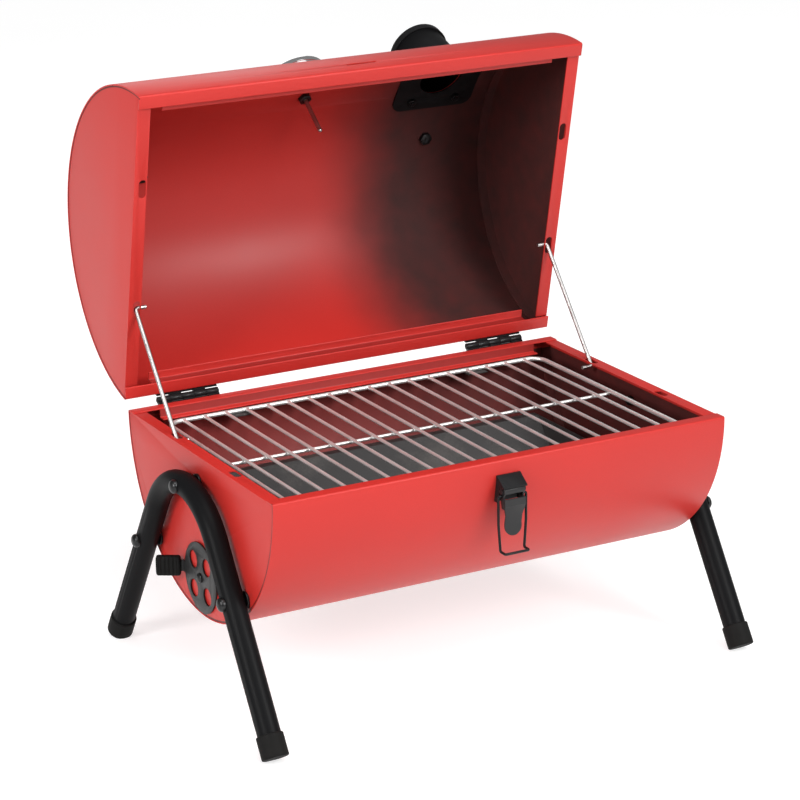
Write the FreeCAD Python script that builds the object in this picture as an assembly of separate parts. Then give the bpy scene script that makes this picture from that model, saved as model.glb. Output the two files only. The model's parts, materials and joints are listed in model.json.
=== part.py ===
"""Portable tabletop barrel grill: one STEP file per separate piece.

Frame: millimetres, X to the right, Y to the back, Z up.  The origin lies on the
ground in the middle of the four feet.  The lid is written in its open position.
"""
import FreeCAD, Part
import math
import os

V = FreeCAD.Vector
X_AXIS = V(1, 0, 0)
Y_AXIS = V(0, 1, 0)
Z_AXIS = V(0, 0, 1)
ORIGIN = V(0, 0, 0)

# ---------------------------------------------------------------- driving sizes
body_width = 430.0          # barrel length along X, over the end plates
barrel_radius = 143.0       # outside of the sheet-steel barrel
sheet = 1.2                 # thickness of all pressed sheet steel
rim_height = 214.0          # ground to the upper edge of the fire bowl
lid_gap = 4.0               # bowl rim to lid rim when the lid is shut
lid_open_angle = 77.6       # lid angle held by the stay rods

cut_margin = 1.0            # how far a cutting shape passes beyond the sheet it cuts
weld_gap = 0.05             # play between sheets that are welded or riveted
end_plate_recess = 0.4      # end plate set back from the barrel's cut edge
end_plate_play = 0.15       # radial seam between end plate and barrel
end_skirt = 10.0            # inward turned edge of an end plate

rim_strip = 12.0            # flat rim along front and back
rim_joggle = 8.0            # step down inside that rim
rim_ledge = 7.0             # ledge at the foot of the step
ledge_end_gap = 25.0        # barrel end to the end of step and ledge
side_rim = 12.1             # flat rim along each end
bowl_side_drop = 1.0        # bowl: side rim below the front rim
lid_side_drop = 2.75        # lid: side rim behind the front rim

slot_inset = 8.0            # stay-rod slot centre from the barrel end
slot_offset = 57.0          # slot centre from the middle, along Y
slot_length = 16.5
slot_width = 6.75

# legs
leg_radius = 10.0
leg_wall = 1.5
leg_angle = 33.1            # from the vertical
leg_bend_radius = 68.6      # centreline of the top bend
leg_apex_drop = 24.0        # bowl rim to the centreline at the top of the bend
leg_screw_drop = 99.4       # bowl rim to the two lower screws
leg_washer = 2.0
leg_washer_radius = 7.5
screw_radius = 2.5
screw_play = 0.2            # radial, in every screw hole
screw_head_radius = 6.0
screw_head_height = 4.2
nut_flats = 8.0
nut_height = 4.0
screw_tail = 1.5            # thread showing past a nut

foot_radius = 11.5
foot_length = 20.0
foot_floor = 3.0
foot_round = 1.5
foot_wear = 1.5             # flat ground off the lowest edge
foot_play = 0.05

# air dampers in the end plates
damper_drop = 109.0         # bowl rim to the damper's centre
damper_radius = 31.0
damper_sheet = 1.2
damper_play = 0.3           # barrel's cut edge to disc, and disc to rivet head
damper_hole_radius = 7.75
damper_hole_offset = 13.0   # along Y and along Z
vent_hole_radius = 5.5      # matching holes in the end plate
damper_rivet_radius = 2.5
damper_rivet_head = 4.2
damper_neck_width = 10.0
damper_neck_reach = 34.5    # centre to the bend of the tab
damper_tab_angle = 58.0
damper_tab_length = 18.0
grip_width = 18.0
grip_length = 21.0
grip_thickness = 8.0
grip_play = 0.05

# hinges
hinge_inset = 59.0          # barrel end to the middle of a hinge
hinge_length = 58.0
hinge_axis_out = 4.4        # pin centre outside the barrel
hinge_pin_radius = 1.5
hinge_pin_play = 0.05
hinge_knuckle_radius = 3.1
hinge_leaf_arc = 20.0
hinge_leaf_sheet = 1.2
knuckle_count = 5
knuckle_play = 0.3
rivet_radius = 1.6
rivet_head_radius = 3.2
rivet_head_height = 1.4

# stay rods
rod_radius = 1.75
rod_hook = 10.0             # length of the cross hooks
rod_pivot_lift = 2.05       # hook centre above the lid's side rim sheet

# cooking grate
grate_end_gap = 1.0         # grate wire inside the end of the ledge
grate_side_gap = 3.0        # grate wire inside the ledge's edge
grate_drop = 11.0           # bowl rim to the wire centres
grate_corner = 14.0
grate_frame_radius = 2.0
grate_bar_radius = 1.5
grate_bar_count = 18
grate_end_space = 0.81      # last bar to the frame wire, in bar spacings
support_width = 20.0
support_x = 120.0           # bracket centre from the middle
support_reach = 8.0         # tongue under the grate wire

# charcoal tray
tray_end_gap = 6.0          # tray inside the end of the ledge
tray_floor_drop = 100.0
tray_slope_run = 30.0       # lip to floor edge, along Y
tray_lip_drop = 64.0
tray_lip = 6.0
tray_lip_overlap = 1.5      # lip laps over the sloping side
tray_side_gap = 6.5         # lip to the barrel
tray_slot_margin_x = 20.0   # plain edge round the slots
tray_slot_margin_y = 12.0
tray_slot_rows = 3
tray_slot_columns = 7
tray_slot_length = 34.0
tray_slot_width = 6.0
tray_foot_x = 120.0
tray_foot_width = 16.0
tray_foot_half = 48.0

# latch
latch_drop = 12.5           # bowl rim to the top of the latch
latch_length = 23.5         # height of the bracket's side cheeks
latch_half = 11.2           # half width of the bracket
latch_sheet = 1.2
latch_depth = 12.0          # hood in front of the barrel
latch_slope = 8.0           # height of the hood's sloping roof
latch_hood_end = 21.5       # bowl rim to the hood's lower edge
latch_rivet_drop = 5.8      # top of the latch to its rivets
latch_rivet_x = 5.0
latch_lug_radius = 2.9      # ear of a cheek round the pivot pin
latch_cheek_out = 4.0       # depth of the cheeks below the ears
latch_pin_end = 0.4         # pin showing past each cheek
latch_pivot_drop = 24.5
latch_pivot_out = 6.5
latch_pin_radius = 1.5
lever_play = 0.2            # each side, between bracket and lever
lever_eye_radius = 4.4
lever_face_top = 31.0       # bowl rim to the top of the lever's face
lever_face_out = 5.0        # face in front of the pivot
lever_wall_end = 40.0
lever_tongue_half = 8.0
lever_end_drop = 64.0
lever_crease = 10.5         # crease to the tip of the tongue
lever_lean = 4.0            # tongue falls back towards the barrel
bail_pivot_drop = 28.8
bail_pivot_out = 6.0
bail_radius = 1.15
bail_half_top = 13.2        # wire centre, at the pivots
bail_half_end = 11.4        # wire centre, at the free end
bail_hook = 8.0             # free end bent away from the barrel
keeper_lift = 15.6          # lid rim to the keeper slot's centre
keeper_half = 14.3
keeper_height = 3.4

# chimney on the lid
chimney_inset = 69.0        # barrel end to the chimney's axis
chimney_tilt = 8.0          # tube leans to the front
chimney_offset = 69.7       # where its axis meets the lid, towards the front
chimney_tube_radius = 26.5
chimney_lip = 5.5           # tube's outside to the bore through lid and plates
chimney_length = 48.0
chimney_cap_wall = 1.7
chimney_cap_skirt = 7.0
chimney_cap_play = 0.3
chimney_hole_radius = 6.0
chimney_hole_circle = 15.0
chimney_plate_edge_x = 19.0   # screws to the plate's edges
chimney_plate_edge_arc = 9.3
chimney_plate_angle = 28.0
chimney_plate_corner = 10.0
chimney_screw_margin = 4.3  # tube to screw head
chimney_screw_angle = 48.2  # screws round the tube, from the X axis
small_screw_radius = 2.0
small_head_radius = 3.7
small_head_height = 2.6
small_nut_flats = 7.0
small_nut_height = 3.0

# thermometer on the lid
dial_x = 6.0
dial_angle = 27.0
dial_radius = 30.0
dial_base = 4.0             # back of the case above the barrel
dial_depth = 19.0
dial_wall = 1.5
dial_bezel = 3.0
dial_plate_drop = 5.0
stem_radius = 2.0
stem_reach = 42.0           # tip inside the barrel
stem_collar_radius = 4.5
dial_nut_flats = 11.0
dial_nut_height = 3.5

# lid handle
handle_inset = 69.3         # barrel end to a handle post
handle_post_radius = 7.0
handle_post_height = 30.0
handle_grip_radius = 11.0
handle_overhang = 22.0
handle_bolt_radius = 3.0
handle_bolt_head = 5.8
handle_bolt_height = 4.0
handle_bolt_depth = 20.0

# ------------------------------------------------------------- derived places
half_width = body_width / 2
end_face = half_width - end_plate_recess
end_inner = end_face - sheet
inner_radius = barrel_radius - sheet
strip_edge = barrel_radius - rim_strip
lid_axis_height = rim_height + lid_gap
hinge_y = barrel_radius + hinge_axis_out
hinge_z = rim_height + lid_gap / 2
leg_x = end_face + leg_washer + leg_radius
damper_z = rim_height - damper_drop
slot_x = half_width - slot_inset
ledge_half = half_width - ledge_end_gap
hinge_centre = half_width - hinge_inset

grate_half_x = ledge_half - grate_end_gap
grate_half_y = strip_edge - rim_ledge - grate_side_gap
grate_bar_pitch = 2 * grate_half_x / (grate_bar_count - 1 + 2 * grate_end_space)
tray_half_x = ledge_half - tray_end_gap
tray_lip_half = math.sqrt(inner_radius ** 2 - tray_lip_drop ** 2) - tray_side_gap - tray_lip
tray_floor_half = tray_lip_half - tray_slope_run

chimney_x = half_width - chimney_inset
chimney_bore = chimney_tube_radius - chimney_lip
chimney_cap_radius = chimney_tube_radius + chimney_cap_play + chimney_cap_wall
chimney_screw_circle = chimney_tube_radius + small_head_radius + chimney_screw_margin
chimney_screw_x = chimney_screw_circle * math.cos(math.radians(chimney_screw_angle))
chimney_screw_arc = chimney_screw_circle * math.sin(math.radians(chimney_screw_angle))
chimney_plate_x = 2 * (chimney_screw_x + chimney_plate_edge_x)
chimney_plate_arc = 2 * (chimney_screw_arc + chimney_plate_edge_arc)
handle_post_x = half_width - handle_inset

lid_side_sheet = lid_side_drop + sheet
rod_pivot_z = lid_axis_height + lid_side_sheet + rod_pivot_lift
rod_pivot_rise = rod_pivot_z - hinge_z
rod_arm = math.hypot(hinge_y - slot_offset, rod_pivot_rise)
rod_pivot_lag = math.degrees(math.atan2(rod_pivot_rise, hinge_y - slot_offset))
rod_span = 2 * rod_arm * math.sin(math.radians(lid_open_angle / 2 + rod_pivot_lag))


# ------------------------------------------------------------------- helpers
def box(x0, x1, y0, y1, z0, z1):
    """Block between two corners."""
    return Part.makeBox(x1 - x0, y1 - y0, z1 - z0, V(x0, y0, z0))


def rod(start, end, radius):
    """Round bar between two points."""
    run = end - start
    return Part.makeCylinder(radius, run.Length, start, run)


def fuse(shapes):
    """One clean solid from overlapping shapes."""
    whole = shapes[0].multiFuse(shapes[1:]) if len(shapes) > 1 else shapes[0]
    return whole.removeSplitter()


def turned(shape, centre, axis, angle):
    """Turned copy."""
    copy = shape.copy()
    copy.rotate(centre, axis, angle)
    return copy


def moved(shape, x=0.0, y=0.0, z=0.0):
    """Moved copy."""
    copy = shape.copy()
    copy.translate(V(x, y, z))
    return copy


def mirrored_x(shape):
    """Copy on the other side of the middle plane."""
    return shape.mirror(ORIGIN, X_AXIS)


def round_point(radius, degrees, x=0.0):
    """Point on a circle about the X axis; 0 is the back, 90 the top."""
    angle = math.radians(degrees)
    return V(x, radius * math.cos(angle), radius * math.sin(angle))


def sector(inner, outer, start, end, x0, x1):
    """Part of a tube about the X axis, between two angles."""
    middle = (start + end) / 2
    edges = [
        Part.Arc(round_point(outer, start, x0), round_point(outer, middle, x0),
                 round_point(outer, end, x0)).toShape(),
        Part.makeLine(round_point(outer, end, x0), round_point(inner, end, x0)),
        Part.Arc(round_point(inner, end, x0), round_point(inner, middle, x0),
                 round_point(inner, start, x0)).toShape(),
        Part.makeLine(round_point(inner, start, x0), round_point(outer, start, x0)),
    ]
    return Part.Face(Part.Wire(edges)).extrude(V(x1 - x0, 0, 0))


def arc_of(length, radius):
    """Angle in degrees that an arc length takes up."""
    return math.degrees(length / radius)


def plate(points, direction):
    """Prism from a closed polygon."""
    return Part.Face(Part.makePolygon(points + [points[0]])).extrude(direction)


def oblong(cx, cy, z0, z1, length_y, width_x):
    """Upright slot cutter with round ends, long along Y."""
    radius = width_x / 2
    half = length_y / 2 - radius
    return fuse([
        box(cx - radius, cx + radius, cy - half, cy + half, z0, z1),
        Part.makeCylinder(radius, z1 - z0, V(cx, cy - half, z0)),
        Part.makeCylinder(radius, z1 - z0, V(cx, cy + half, z0)),
    ])


def dome(base, direction, radius, height):
    """Screw or rivet head: a spherical cap on a short land."""
    land = height * 0.25
    rise = height - land
    ball = (radius ** 2 + rise ** 2) / (2 * rise)
    step = V(direction).normalize()
    centre = base + step * (height - ball)
    cap = Part.makeSphere(ball, centre)
    keep = Part.makeCylinder(radius, height * 2, base + step * land, direction)
    return fuse([cap.common(keep), Part.makeCylinder(radius, land, base, direction)])


def hex_nut(base, direction, flats, height, hole):
    """Hexagon nut standing on base."""
    across = flats / math.sqrt(3)
    corners = [V(across * math.cos(math.radians(60 * i)), across * math.sin(math.radians(60 * i)), 0)
               for i in range(6)]
    nut = plate(corners, V(0, 0, height)).cut(Part.makeCylinder(hole, height * 3, V(0, 0, -height)))
    nut.Placement = FreeCAD.Placement(base, FreeCAD.Rotation(Z_AXIS, direction))
    return nut


def wire_path(points, bend):
    """Straight runs joined by tangent arcs of one radius."""
    edges = []
    start = points[0]
    for before, corner, after in zip(points, points[1:], points[2:]):
        into = V(before - corner).normalize()
        out = V(after - corner).normalize()
        half_turn = into.getAngle(out) / 2
        reach = bend / math.tan(half_turn)
        first = corner + into * reach
        last = corner + out * reach
        middle_way = V(into + out).normalize()
        middle = corner + middle_way * (bend / math.sin(half_turn) - bend)
        if (first - start).Length > 1e-6:
            edges.append(Part.makeLine(start, first))
        edges.append(Part.Arc(first, middle, last).toShape())
        start = last
    edges.append(Part.makeLine(start, points[-1]))
    return Part.Wire(edges)


def bent_wire(points, bend, radius):
    """Round wire along runs and arcs."""
    path = wire_path(points, bend)
    start = path.Edges[0]
    tangent = start.tangentAt(start.FirstParameter)
    circle = Part.Wire(Part.makeCircle(radius, points[0], tangent))
    return path.makePipeShell([circle], True, False)


# ---------------------------------------------------------- barrel half shell
def half_shell():
    """Lower half of the barrel about the X axis, rim in the plane z = 0."""
    pieces = [sector(inner_radius, barrel_radius, 180, 360, -half_width, half_width)]
    overlap = sheet / 2
    for side in (-1, 1):
        strip = box(-half_width, half_width, strip_edge, barrel_radius - overlap, -sheet, 0)
        step = box(-ledge_half, ledge_half, strip_edge, strip_edge + sheet,
                   -rim_joggle - sheet, -overlap)
        ledge = box(-ledge_half, ledge_half, strip_edge - rim_ledge, strip_edge + overlap,
                    -rim_joggle - sheet, -rim_joggle)
        for piece in (strip, step, ledge):
            pieces.append(piece if side > 0 else piece.mirror(ORIGIN, Y_AXIS))
    return fuse(pieces)


def end_hole(y, z, radius):
    """Cutting rod through the right end plate, parallel to X."""
    return rod(V(end_inner - cut_margin, y, z), V(end_face + cut_margin, y, z), radius)


def end_plate(side_drop):
    """Right-hand half-round end plate with its skirt and slotted side rim."""
    outer = inner_radius - end_plate_play
    disc = half_disc(outer)
    skirt_start = -math.degrees(math.asin((side_drop + sheet) / outer))
    skirt = sector(outer - sheet, outer, 180 - skirt_start, 360 + skirt_start,
                   end_face - end_skirt, end_face - sheet / 2)
    rim_half = strip_edge - weld_gap
    rim = box(end_face - side_rim + end_plate_recess, end_face - sheet / 2, -rim_half, rim_half,
              -side_drop - sheet, -side_drop)
    above = box(end_inner - 1, end_face + 1, -barrel_radius, barrel_radius, -side_drop, 1)
    body = fuse([disc.cut(above), skirt, rim])
    strip_drop = sheet + weld_gap
    for side in (-1, 1):
        beside = box(end_face - end_skirt - 1, end_face + 1, rim_half, barrel_radius, -strip_drop, 1)
        body = body.cut(beside if side > 0 else beside.mirror(ORIGIN, Y_AXIS))
    for y in (-slot_offset, slot_offset):
        body = body.cut(oblong(slot_x, y, -side_drop - 2 * sheet, 1, slot_length, slot_width))
    return body


def half_disc(radius):
    """Half-round plate at the right-hand end, below z = 0."""
    disc = Part.makeCylinder(radius, sheet, V(end_inner, 0, 0), X_AXIS)
    return disc.cut(box(end_inner - 1, end_face + 1, -radius - 1, radius + 1, 0, radius + 1))


def leg_screw_places():
    """(y, z) of the three screws of one leg."""
    lower_y = leg_line_y(rim_height - leg_screw_drop)
    return [(0.0, rim_height - leg_apex_drop),
            (-lower_y, rim_height - leg_screw_drop),
            (lower_y, rim_height - leg_screw_drop)]


def leg_line_y(z):
    """Y of the leg centreline at a height below the top bend."""
    slope = math.radians(leg_angle)
    bend_z = rim_height - leg_apex_drop - leg_bend_radius
    tangent_y = leg_bend_radius * math.cos(slope)
    tangent_z = bend_z + leg_bend_radius * math.sin(slope)
    return tangent_y + (tangent_z - z) * math.tan(slope)


def hinge_rivet_places():
    """(x, angle down from the rim in degrees) of one hinge leaf's rivets."""
    angle = arc_of(hinge_leaf_arc * 0.62, barrel_radius)
    reach = hinge_length * 0.33
    return [(hinge_centre - reach, angle), (hinge_centre, angle), (hinge_centre + reach, angle)]


def radial_rod(x, angle, inner, outer, radius):
    """Round bar that points away from the X axis."""
    start = round_point(inner, angle, x)
    return rod(start, round_point(outer, angle, x), radius)


def make_bowl():
    """Fire bowl: barrel wrap and two end plates."""
    shell = half_shell()
    for side in (-1, 1):
        for x, angle in hinge_rivet_places():
            shell = shell.cut(radial_rod(side * x, -angle, inner_radius - 2, barrel_radius + 2,
                                         rivet_radius + weld_gap))
    for x, angle in latch_rivet_places():
        shell = shell.cut(radial_rod(x, angle, inner_radius - 2, barrel_radius + 2,
                                     rivet_radius + weld_gap))
    plate_right = end_plate(bowl_side_drop)
    for y, z in leg_screw_places():
        plate_right = plate_right.cut(end_hole(y, z - rim_height, screw_radius + screw_play))
    ring = damper_hole_offset * math.sqrt(2)
    for i in range(4):
        y = ring * math.cos(math.radians(90 * i))
        z = -damper_drop + ring * math.sin(math.radians(90 * i))
        plate_right = plate_right.cut(end_hole(y, z, vent_hole_radius))
    plate_right = plate_right.cut(end_hole(0, -damper_drop, damper_rivet_radius + weld_gap))
    return {
        "base_shell": moved(shell, z=rim_height),
        "base_end_cap_right": moved(plate_right, z=rim_height),
        "base_end_cap_left": moved(mirrored_x(plate_right), z=rim_height),
    }


# ------------------------------------------------------------------- the legs
def make_legs():
    """Two bent tubes, their rubber feet, and the screws that hold them."""
    slope = math.radians(leg_angle)
    end_z = foot_radius * math.sin(slope) - foot_wear
    end_y = leg_line_y(end_z)
    down = V(0, math.sin(slope), -math.cos(slope))
    bend_z = rim_height - leg_apex_drop - leg_bend_radius
    tangent = V(leg_x, leg_bend_radius * math.cos(slope), bend_z + leg_bend_radius * math.sin(slope))
    tube_end = V(leg_x, end_y, end_z) - down * foot_floor

    def tube(radius):
        other = V(leg_x, -tube_end.y, tube_end.z)
        path = Part.Wire([
            Part.makeLine(other, V(leg_x, -tangent.y, tangent.z)),
            Part.Arc(V(leg_x, -tangent.y, tangent.z), V(leg_x, 0, bend_z + leg_bend_radius),
                     tangent).toShape(),
            Part.makeLine(tangent, tube_end),
        ])
        start = path.Edges[0]
        circle = Part.Wire(Part.makeCircle(radius, other, start.tangentAt(start.FirstParameter)))
        return path.makePipeShell([circle], True, False)

    full = tube(leg_radius)
    leg = full.cut(tube(leg_radius - leg_wall))
    washers = []
    screws = []
    nuts = []
    for y, z in leg_screw_places():
        leg = leg.cut(rod(V(end_face, y, z), V(leg_x + 2 * leg_radius, y, z), screw_radius + screw_play))
        ring = rod(V(end_face, y, z), V(end_face + leg_washer, y, z), leg_washer_radius)
        washers.append(ring.cut(rod(V(end_face - 1, y, z), V(leg_x, y, z), screw_radius + screw_play)))
        head_base = V(leg_x + leg_radius - 1.6, y, z)
        head = dome(head_base, X_AXIS, screw_head_radius, screw_head_height + 1.6).cut(full)
        tail = end_inner - nut_height - screw_tail
        shank = rod(V(tail, y, z), V(leg_x + leg_radius + 1, y, z), screw_radius)
        screws.append(fuse([head, shank]))
        nuts.append(hex_nut(V(end_inner, y, z), V(-1, 0, 0), nut_flats, nut_height,
                            screw_radius + weld_gap))

    foot_end = V(leg_x, end_y, end_z)
    foot = Part.makeCylinder(foot_radius, foot_length, foot_end, -down)
    rims = [e for e in foot.Edges if e.Curve.TypeId == "Part::GeomCircle"]
    foot = foot.makeFillet(foot_round, rims)
    socket_base = foot_end - down * foot_floor
    foot = foot.cut(Part.makeCylinder(leg_radius + foot_play, foot_length, socket_base, -down))
    foot = foot.cut(box(leg_x - 50, leg_x + 50, end_y - 50, end_y + 50, -50, 0))
    front = foot.mirror(ORIGIN, Y_AXIS)
    return {
        "leg_right": leg,
        "leg_left": mirrored_x(leg),
        "foot_cap_rear_right": foot,
        "foot_cap_front_right": front,
        "foot_cap_rear_left": mirrored_x(foot),
        "foot_cap_front_left": mirrored_x(front),
        "leg_washers": Part.makeCompound(washers + [mirrored_x(s) for s in washers]),
        "leg_screws": Part.makeCompound(screws + [mirrored_x(s) for s in screws]),
        "leg_nuts": Part.makeCompound(nuts + [mirrored_x(s) for s in nuts]),
    }


# ---------------------------------------------------------------- air dampers
def make_dampers():
    """Turning air dampers: disc with a bent tab, rubber grip and rivet."""
    x0 = half_width + damper_play
    x1 = x0 + damper_sheet
    z = damper_z
    disc = rod(V(x0, 0, z), V(x1, 0, z), damper_radius)
    neck = box(x0, x1, damper_radius - 6, damper_neck_reach, z - damper_neck_width / 2,
               z + damper_neck_width / 2)
    tab = box(x0, x1, damper_neck_reach, damper_neck_reach + damper_tab_length,
              z - damper_neck_width / 2, z + damper_neck_width / 2)
    hinge_line = V(x0, damper_neck_reach, z)
    tab = turned(tab, hinge_line, Z_AXIS, -damper_tab_angle)
    knee = rod(V(x0, damper_neck_reach, z - damper_neck_width / 2),
               V(x0, damper_neck_reach, z + damper_neck_width / 2), damper_sheet)
    knee = knee.common(box(x0, x0 + 5, 0, 2 * damper_neck_reach, z - 20, z + 20))
    disc = fuse([disc, neck, knee, tab])
    for y_sign in (-1, 1):
        for z_sign in (-1, 1):
            y = y_sign * damper_hole_offset
            hole_z = z + z_sign * damper_hole_offset
            disc = disc.cut(rod(V(x0 - 1, y, hole_z), V(x1 + 1, y, hole_z), damper_hole_radius))
    disc = disc.cut(rod(V(x0 - 1, 0, z), V(x1 + 1, 0, z), damper_rivet_radius + hinge_pin_play))

    middle_x = x0 + damper_sheet / 2
    start = damper_neck_reach + 3.0
    grip = box(middle_x - grip_thickness / 2, middle_x + grip_thickness / 2, start, start + grip_length,
               z - grip_width / 2, z + grip_width / 2)
    grip = grip.makeFillet(2.6, grip.Edges)
    pocket_end = damper_neck_reach + damper_tab_length + grip_play
    pocket_half = damper_neck_width / 2 + grip_play
    pocket = box(x0 - grip_play, x1 + grip_play, start - cut_margin, pocket_end, z - pocket_half, z + pocket_half)
    grip = turned(grip.cut(pocket), hinge_line, Z_AXIS, -damper_tab_angle)

    head_x = x1 + damper_play
    shank = rod(V(end_inner, 0, z), V(head_x, 0, z), damper_rivet_radius)
    tail_head = dome(V(end_inner, 0, z), V(-1, 0, 0), damper_rivet_head, 1.6)
    rivet = fuse([shank, tail_head, dome(V(head_x, 0, z), X_AXIS, damper_rivet_head, 2.4)])
    return {
        "damper_disc_right": disc,
        "damper_disc_left": mirrored_x(disc),
        "damper_grip_right": grip,
        "damper_grip_left": mirrored_x(grip),
        "damper_rivet_right": rivet,
        "damper_rivet_left": mirrored_x(rivet),
    }


# -------------------------------------------------------------------- hinges
def hinge_leaf(for_lid):
    """One butt-hinge leaf, curved to the barrel, about its own X axis at rim level."""
    leaf_inner = barrel_radius + weld_gap
    leaf_outer = leaf_inner + hinge_leaf_sheet
    x0 = hinge_centre - hinge_length / 2
    x1 = hinge_centre + hinge_length / 2
    angle = arc_of(hinge_leaf_arc, barrel_radius)
    axis_z = lid_gap / 2
    leaf = sector(leaf_inner, leaf_outer, -angle, 0, x0, x1)
    pitch = hinge_length / knuckle_count
    knuckles = []
    webs = []
    for i in range(knuckle_count):
        if (i % 2 == 1) != for_lid:
            continue
        k0 = x0 + i * pitch + (knuckle_play / 2 if i else 0)
        k1 = x0 + (i + 1) * pitch - (knuckle_play / 2 if i < knuckle_count - 1 else 0)
        knuckles.append(rod(V(k0, hinge_y, axis_z), V(k1, hinge_y, axis_z), hinge_knuckle_radius))
        webs.append(box(k0, k1, leaf_inner + 0.1, hinge_y, -2.0, axis_z - hinge_knuckle_radius * 0.35))
    body = fuse([leaf] + knuckles + webs)
    clear = 0.0 if not for_lid else hinge_pin_play
    body = body.cut(rod(V(x0 - 1, hinge_y, axis_z), V(x1 + 1, hinge_y, axis_z), hinge_pin_radius + clear))
    reach = hinge_knuckle_radius + 0.25
    for i in range(knuckle_count):
        if (i % 2 == 1) == for_lid:
            continue
        k0 = x0 + i * pitch - knuckle_play / 2
        k1 = x0 + (i + 1) * pitch + knuckle_play / 2
        gap = rod(V(k0, hinge_y, axis_z), V(k1, hinge_y, axis_z), reach)
        body = body.cut(gap)
    for x, rivet_angle in hinge_rivet_places():
        body = body.cut(radial_rod(x, -rivet_angle, barrel_radius - 2, leaf_outer + 2,
                                   rivet_radius + weld_gap))
    return body


def rivet(x, angle, grip_inner, grip_outer):
    """Rivet through the barrel sheet; its domes lie on both faces."""
    outward = V(round_point(1, angle)).normalize()
    top = round_point(grip_outer, angle, x)
    bottom = round_point(grip_inner, angle, x)
    outer_head = dome(top - outward * 0.1, outward, rivet_head_radius, rivet_head_height)
    inner_head = dome(bottom + outward * 0.1, -outward, rivet_head_radius, rivet_head_height)
    outer_head = outer_head.cut(Part.makeCylinder(grip_outer, 4 * rivet_head_radius,
                                                  V(x - 2 * rivet_head_radius, 0, 0), X_AXIS))
    keep = Part.makeCylinder(grip_inner, 4 * rivet_head_radius, V(x - 2 * rivet_head_radius, 0, 0), X_AXIS)
    inner_head = inner_head.common(keep)
    shank = rod(bottom - outward * 0.3, top + outward * 0.3, rivet_radius)
    return fuse([shank, outer_head, inner_head])


def make_hinges():
    """Two butt hinges; lid leaves are made at the shut position."""
    base_leaf = hinge_leaf(False)
    lid_leaf = hinge_leaf(True).mirror(ORIGIN, Z_AXIS)
    leaf_outer = barrel_radius + weld_gap + hinge_leaf_sheet
    base_rivets = []
    lid_rivets = []
    for x, angle in hinge_rivet_places():
        base_rivets.append(rivet(x, -angle, inner_radius, leaf_outer))
        lid_rivets.append(rivet(x, angle, inner_radius, leaf_outer))
    reach = hinge_length / 2
    pin = rod(V(hinge_centre - reach - 0.4, hinge_y, lid_gap / 2),
              V(hinge_centre + reach + 0.4, hinge_y, lid_gap / 2), hinge_pin_radius)
    ends = [dome(V(hinge_centre + s * (reach + 0.02), hinge_y, lid_gap / 2), V(s, 0, 0),
                 hinge_pin_radius + 0.8, 1.2) for s in (-1, 1)]
    pin = fuse([pin] + ends)

    def pair(shapes, z):
        right = [moved(s, z=z) for s in shapes]
        return Part.makeCompound(right + [mirrored_x(s) for s in right])

    return {
        "hinge_base_leaf_right": moved(base_leaf, z=rim_height),
        "hinge_base_leaf_left": moved(mirrored_x(base_leaf), z=rim_height),
        "hinge_base_rivets": pair(base_rivets, rim_height),
        "hinge_pins": pair([pin], rim_height),
    }, {
        "hinge_lid_leaf_right": moved(lid_leaf, z=lid_axis_height),
        "hinge_lid_leaf_left": moved(mirrored_x(lid_leaf), z=lid_axis_height),
        "hinge_lid_rivets": pair(lid_rivets, lid_axis_height),
    }


# --------------------------------------------------------------------- latch
def latch_rivet_places():
    """(x, angle) of the two rivets of the latch bracket, beside the lever."""
    angle = 180 + math.degrees(math.asin((latch_drop + latch_rivet_drop) / barrel_radius))
    return [(-latch_rivet_x, angle), (latch_rivet_x, angle)]


def out(distance, drop):
    """Point of the latch's side view: distance in front of the barrel, depth below the rim."""
    return V(0, -barrel_radius - distance, -drop)


def side_prism(outline, half):
    """Prism across the latch from a side view."""
    return plate([p - V(half, 0, 0) for p in outline], V(2 * half, 0, 0))


def make_bracket():
    """Latch bracket: curved back plate, two cheeks and a hood with a sloping roof."""
    cheek_end = latch_drop + latch_length
    pivot = out(latch_pivot_out, latch_pivot_drop)
    cheeks = side_prism([
        out(-6, latch_drop), out(0.6, latch_drop), out(latch_depth, latch_drop + latch_slope),
        out(latch_depth, latch_hood_end), out(latch_pivot_out + 2, latch_pivot_drop - 2),
        out(latch_cheek_out, latch_pivot_drop + 1.4), out(latch_cheek_out, cheek_end - 3),
        out(latch_cheek_out - 3, cheek_end), out(-6, cheek_end),
    ], latch_half)
    ear = Part.makeCylinder(latch_lug_radius, 2 * latch_half, pivot - V(latch_half, 0, 0), X_AXIS)
    cheeks = fuse([cheeks, ear])
    hollow = side_prism([
        out(-9, latch_drop + latch_sheet * 1.2), out(0, latch_drop + latch_sheet * 1.2),
        out(latch_depth - latch_sheet, latch_drop + latch_slope + 0.4),
        out(latch_depth - latch_sheet, latch_hood_end),
        out(latch_depth + 1, latch_hood_end), out(latch_depth + 1, cheek_end + 1), out(-9, cheek_end + 1),
    ], latch_half - latch_sheet)
    inner = barrel_radius + weld_gap
    top = math.degrees(math.asin(latch_drop / barrel_radius))
    low = math.degrees(math.asin(cheek_end / barrel_radius))
    back = sector(inner, inner + latch_sheet, 180 + top, 180 + low, -latch_half, latch_half)
    barrel = Part.makeCylinder(inner, body_width, V(-half_width, 0, 0), X_AXIS)
    return fuse([cheeks.cut(hollow).cut(barrel), back])


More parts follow.
